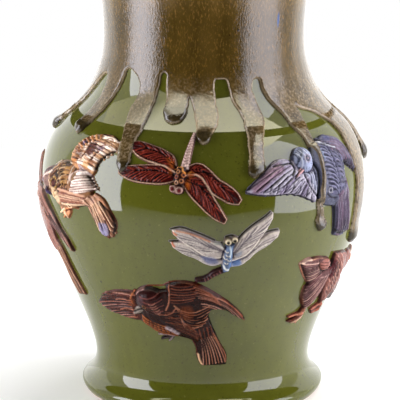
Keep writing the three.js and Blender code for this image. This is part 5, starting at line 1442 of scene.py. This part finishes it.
def make_floor():
    """A white table: it keeps the shadow near the vase and is plain white further out. Past its front
    edge the glaze mirrors a dark room."""
    material = bpy.data.materials.new("white_table")
    tree = cleared(material)
    paths = add(tree, "ShaderNodeLightPath").outputs
    place = add(tree, "ShaderNodeTexCoord").outputs["Object"]
    room, depth, level = behind(tree, place)
    lit = add(tree, "ShaderNodeBsdfDiffuse", {"Color": (0.95, 0.95, 0.95, 1)})
    seen = add(tree, "ShaderNodeMath", {0: paths["Is Camera Ray"], 1: paths["Is Glossy Ray"]})
    lift = add(tree, "ShaderNodeMath", {0: seen, 1: TABLE_GLOW}, operation="MULTIPLY")
    glowing = add(tree, "ShaderNodeEmission", {"Color": (1, 1, 1, 1), "Strength": lift})
    near = add(tree, "ShaderNodeAddShader", {0: lit, 1: glowing})
    shine = add(tree, "ShaderNodeMix", {0: paths["Is Glossy Ray"], 2: 1.0, 3: room})
    far = add(tree, "ShaderNodeEmission", {"Color": (1, 1, 1, 1), "Strength": shine})
    away = add(tree, "ShaderNodeMapRange",
               {"Value": level, "From Min": SHADOW_REACH[0], "From Max": SHADOW_REACH[1]})
    beyond = add(tree, "ShaderNodeMapRange",
                 {"Value": depth, "From Min": FRONT_EDGE[0], "From Max": FRONT_EDGE[1]})
    hidden = add(tree, "ShaderNodeMath",
                 {0: beyond, 1: paths["Is Glossy Ray"]}, operation="MULTIPLY")
    away = add(tree, "ShaderNodeMath", {0: away, 1: seen}, operation="MULTIPLY")
    share = add(tree, "ShaderNodeMath", {0: away, 1: hidden}, operation="MAXIMUM")
    both = add(tree, "ShaderNodeMixShader", {0: share, 1: near, 2: far})
    add(tree, "ShaderNodeOutputMaterial", {"Surface": both})
    flat_mesh("table_top", [(x * TABLE_HALF, y * TABLE_HALF, 0)
                            for x, y in ((-1, -1), (1, -1), (1, 1), (-1, 1))], material)


def make_world(sky):
    """White to the camera, the dark or bright room to the glaze, and an even light on clay."""
    world = bpy.data.worlds.new("studio")
    bpy.context.scene.world = world
    tree = cleared(world)
    paths = add(tree, "ShaderNodeLightPath").outputs
    room, _, _ = behind(tree, add(tree, "ShaderNodeTexCoord").outputs["Generated"])
    strength = add(tree, "ShaderNodeMix", {0: paths["Is Glossy Ray"], 2: sky, 3: room})
    strength = add(tree, "ShaderNodeMix", {0: paths["Is Camera Ray"], 2: strength, 3: 1.0})
    light = add(tree, "ShaderNodeBackground", {"Color": (1, 1, 1, 1), "Strength": strength})
    add(tree, "ShaderNodeOutputWorld", {"Surface": light})


# Soft lamps, all of one width and aimed at one point: place in metres, which power they take and their
# share
LAMP_WIDTH = 0.9
LAMP_AIM = (0.0, 0.0, 0.14)
LAMPS = (
    ("left_lamp", (-1.4, -0.35, 0.32), "side", 1.0),
    ("right_lamp", (1.4, -0.1, 0.36), "side", 1.15),
    ("top_lamp", (0.35, 0.5, 1.4), "top", 1.0),
)

# Cards: corners in metres, share of the cards' brightness, tint and how bright the left end stays
COOL = (0.90, 0.90, 1.0)
WARM = (1.0, 0.95, 0.74)
CARDS = (
    ("left_card", ((-0.477, -0.352, 0), (-0.579, -0.04, 0), (-0.579, -0.04, 0.55), (-0.477, -0.352, 0.55)),
     1.1, COOL, 1.0),
    ("right_card", ((0.417, -0.403, 0), (0.572, -0.022, 0), (0.572, -0.022, 0.94), (0.417, -0.403, 0.94)),
     0.72, COOL, 1.0),
    ("top_card", ((-1.1, -0.73, 0.9), (0.52, -0.73, 0.9), (0.52, 0.5, 0.9), (-1.1, 0.5, 0.9)),
     0.92, WARM, 0.35),
)

# Flat rings round the vase: height and inner radius in metres, then the outer radius on the left, in
# front and on the right, which change at two angles from the front
RING_SIDES = 96
RING_TURNS = (-40.0, 21.0)
RINGS = (
    ("shoulder_ring", 0.203, 0.0905, (0.106, 0.158, 0.096)),
    ("foot_ring", 0.100, 0.107, (0.173, 0.173, 0.173)),
)


def make_lights(powers, card):
    """Soft lamps for the clay's colour, and cards that only the glaze mirrors: one at each side and one
    above. Two rings, dark from below and clear from above, keep the last off the belly and off the
    foot."""
    for name, spot, power, share in LAMPS:
        data = bpy.data.lights.new(name, "AREA")
        data.energy = powers[power] * share
        data.size = LAMP_WIDTH
        made = in_scene(name, data)
        made.location = spot
        aim = np.array(LAMP_AIM) - np.array(spot)
        made.rotation_euler = (math.acos(-aim[2] / np.linalg.norm(aim)), 0.0, math.atan2(-aim[0], aim[1]))
        made.visible_glossy = False
        made.visible_camera = False
    for name, corners, share, tint, dim in CARDS:
        only_mirrored(flat_mesh(name, corners, glow(name + "_cloth", card * share, tint, dim)))
    dark = black_below("black_underside")
    turn = np.linspace(0.0, math.tau, RING_SIDES, endpoint=False)
    front = np.degrees(np.arctan2(np.cos(turn), -np.sin(turn)))
    i = np.arange(RING_SIDES)
    j = (i + 1) % RING_SIDES
    for name, height, inner, (left, middle, right) in RINGS:
        outer = np.where(front > RING_TURNS[1], right, np.where(front < RING_TURNS[0], left, middle))
        points = np.concatenate([np.stack([radius * np.cos(turn), radius * np.sin(turn),
                                           np.full(RING_SIDES, height)], 1) for radius in (inner, outer)])
        quads = np.stack([i, i + RING_SIDES, j + RING_SIDES, j], 1)
        only_mirrored(stage_piece(new_mesh(name, points, quads), dark))


# The photograph's camera: place in metres, tilt down and lean in degrees, lens and sensor in millimetres
CAMERA_PLACE = (-0.0021, -1.4650, 0.4552)
CAMERA_TILT = 12.4
CAMERA_LEAN = 0.29
LENS = 192.857
SENSOR_WIDTH = 36.0


def make_camera():
    """The photograph's view, from 1.5 m through a long lens."""
    data = bpy.data.cameras.new("camera")
    data.lens = LENS
    data.sensor_width = SENSOR_WIDTH
    camera = in_scene("camera", data)
    camera.location = CAMERA_PLACE
    camera.rotation_mode = "XYZ"
    camera.rotation_euler = (math.radians(90.0 - CAMERA_TILT), 0.0, 0.0)
    camera.rotation_euler.rotate_axis("Z", math.radians(CAMERA_LEAN))
    bpy.context.scene.camera = camera


# Operators, one for each piece or group of like pieces

def make_figures(context, kind):
    """Makes the figures of one kind, the first word of their names, with one material for each slot."""
    wall = Wall(context.scene.vase_sizes)
    for figure in FIGURES:
        if not figure[0].startswith(kind):
            continue
        slot = figure[-1]
        name = slot + "_on_clay"
        make_figure(wall, figure, bpy.data.materials.get(name) or figure_glaze(name, *GLAZES[slot][1:]))
    return {"FINISHED"}


class VaseStage(bpy.types.Operator):
    """Make the table, the light and the camera"""
    bl_idname = "vase.stage"
    bl_label = "Stage"

    def execute(self, context):
        light = context.scene.vase_light
        context.scene.view_settings.view_transform = "Standard"
        make_world(light.sky)
        make_floor()
        make_lights({"side": light.side, "top": light.top}, light.card)
        make_camera()
        return {"FINISHED"}


class VaseBody(bpy.types.Operator):
    """Make the thrown and glazed body"""
    bl_idname = "vase.body"
    bl_label = "Body"

    def execute(self, context):
        sizes = context.scene.vase_sizes
        make_body(Wall(sizes), sizes.sides, green_glaze(context.scene.vase_colours))
        return {"FINISHED"}


class VaseGlaze(bpy.types.Operator):
    """Make the neck's glaze and the runs below it"""
    bl_idname = "vase.glaze"
    bl_label = "Neck glaze and runs"

    def execute(self, context):
        wall = Wall(context.scene.vase_sizes)
        make_collar(wall, ash_glaze("brown_ash_glaze", context.scene.vase_colours))
        run = ash_glaze("run_ash_glaze", context.scene.vase_colours)
        for number, edges in enumerate(RUNS, 1):
            make_run(wall, number, edges, run)
        return {"FINISHED"}


class VaseSparrows(bpy.types.Operator):
    """Make the sparrows"""
    bl_idname = "vase.sparrows"
    bl_label = "Sparrows"

    def execute(self, context):
        return make_figures(context, "sparrow")


class VaseDragonflies(bpy.types.Operator):
    """Make the dragonflies"""
    bl_idname = "vase.dragonflies"
    bl_label = "Dragonflies"

    def execute(self, context):
        return make_figures(context, "dragonfly")


class VasePanel(bpy.types.Panel):
    """The vase's sizes, colours and pieces in the sidebar"""
    bl_label = "Pottery vase"
    bl_idname = "VIEW3D_PT_pottery_vase"
    bl_space_type = "VIEW_3D"
    bl_region_type = "UI"
    bl_category = "Vase"

    def draw(self, context):
        layout = self.layout
        for group in (context.scene.vase_sizes, context.scene.vase_colours, context.scene.vase_light):
            for name in group.__annotations__:
                layout.prop(group, name)
        for operator in OPERATORS:
            layout.operator(operator.bl_idname)


OPERATORS = (VaseStage, VaseBody, VaseGlaze, VaseSparrows, VaseDragonflies)
CLASSES = (VaseSizes, VaseColours, VaseLight, *OPERATORS, VasePanel)


def register():
    for each in CLASSES:
        bpy.utils.register_class(each)
    bpy.types.Scene.vase_sizes = bpy.props.PointerProperty(type=VaseSizes)
    bpy.types.Scene.vase_colours = bpy.props.PointerProperty(type=VaseColours)
    bpy.types.Scene.vase_light = bpy.props.PointerProperty(type=VaseLight)


def unregister():
    del bpy.types.Scene.vase_light
    del bpy.types.Scene.vase_colours
    del bpy.types.Scene.vase_sizes
    for each in reversed(CLASSES):
        bpy.utils.unregister_class(each)


def main():
    register()
    bpy.ops.vase.stage()
    bpy.ops.vase.body()
    bpy.ops.vase.glaze()
    bpy.ops.vase.sparrows()
    bpy.ops.vase.dragonflies()


if __name__ == "__main__":
    main()
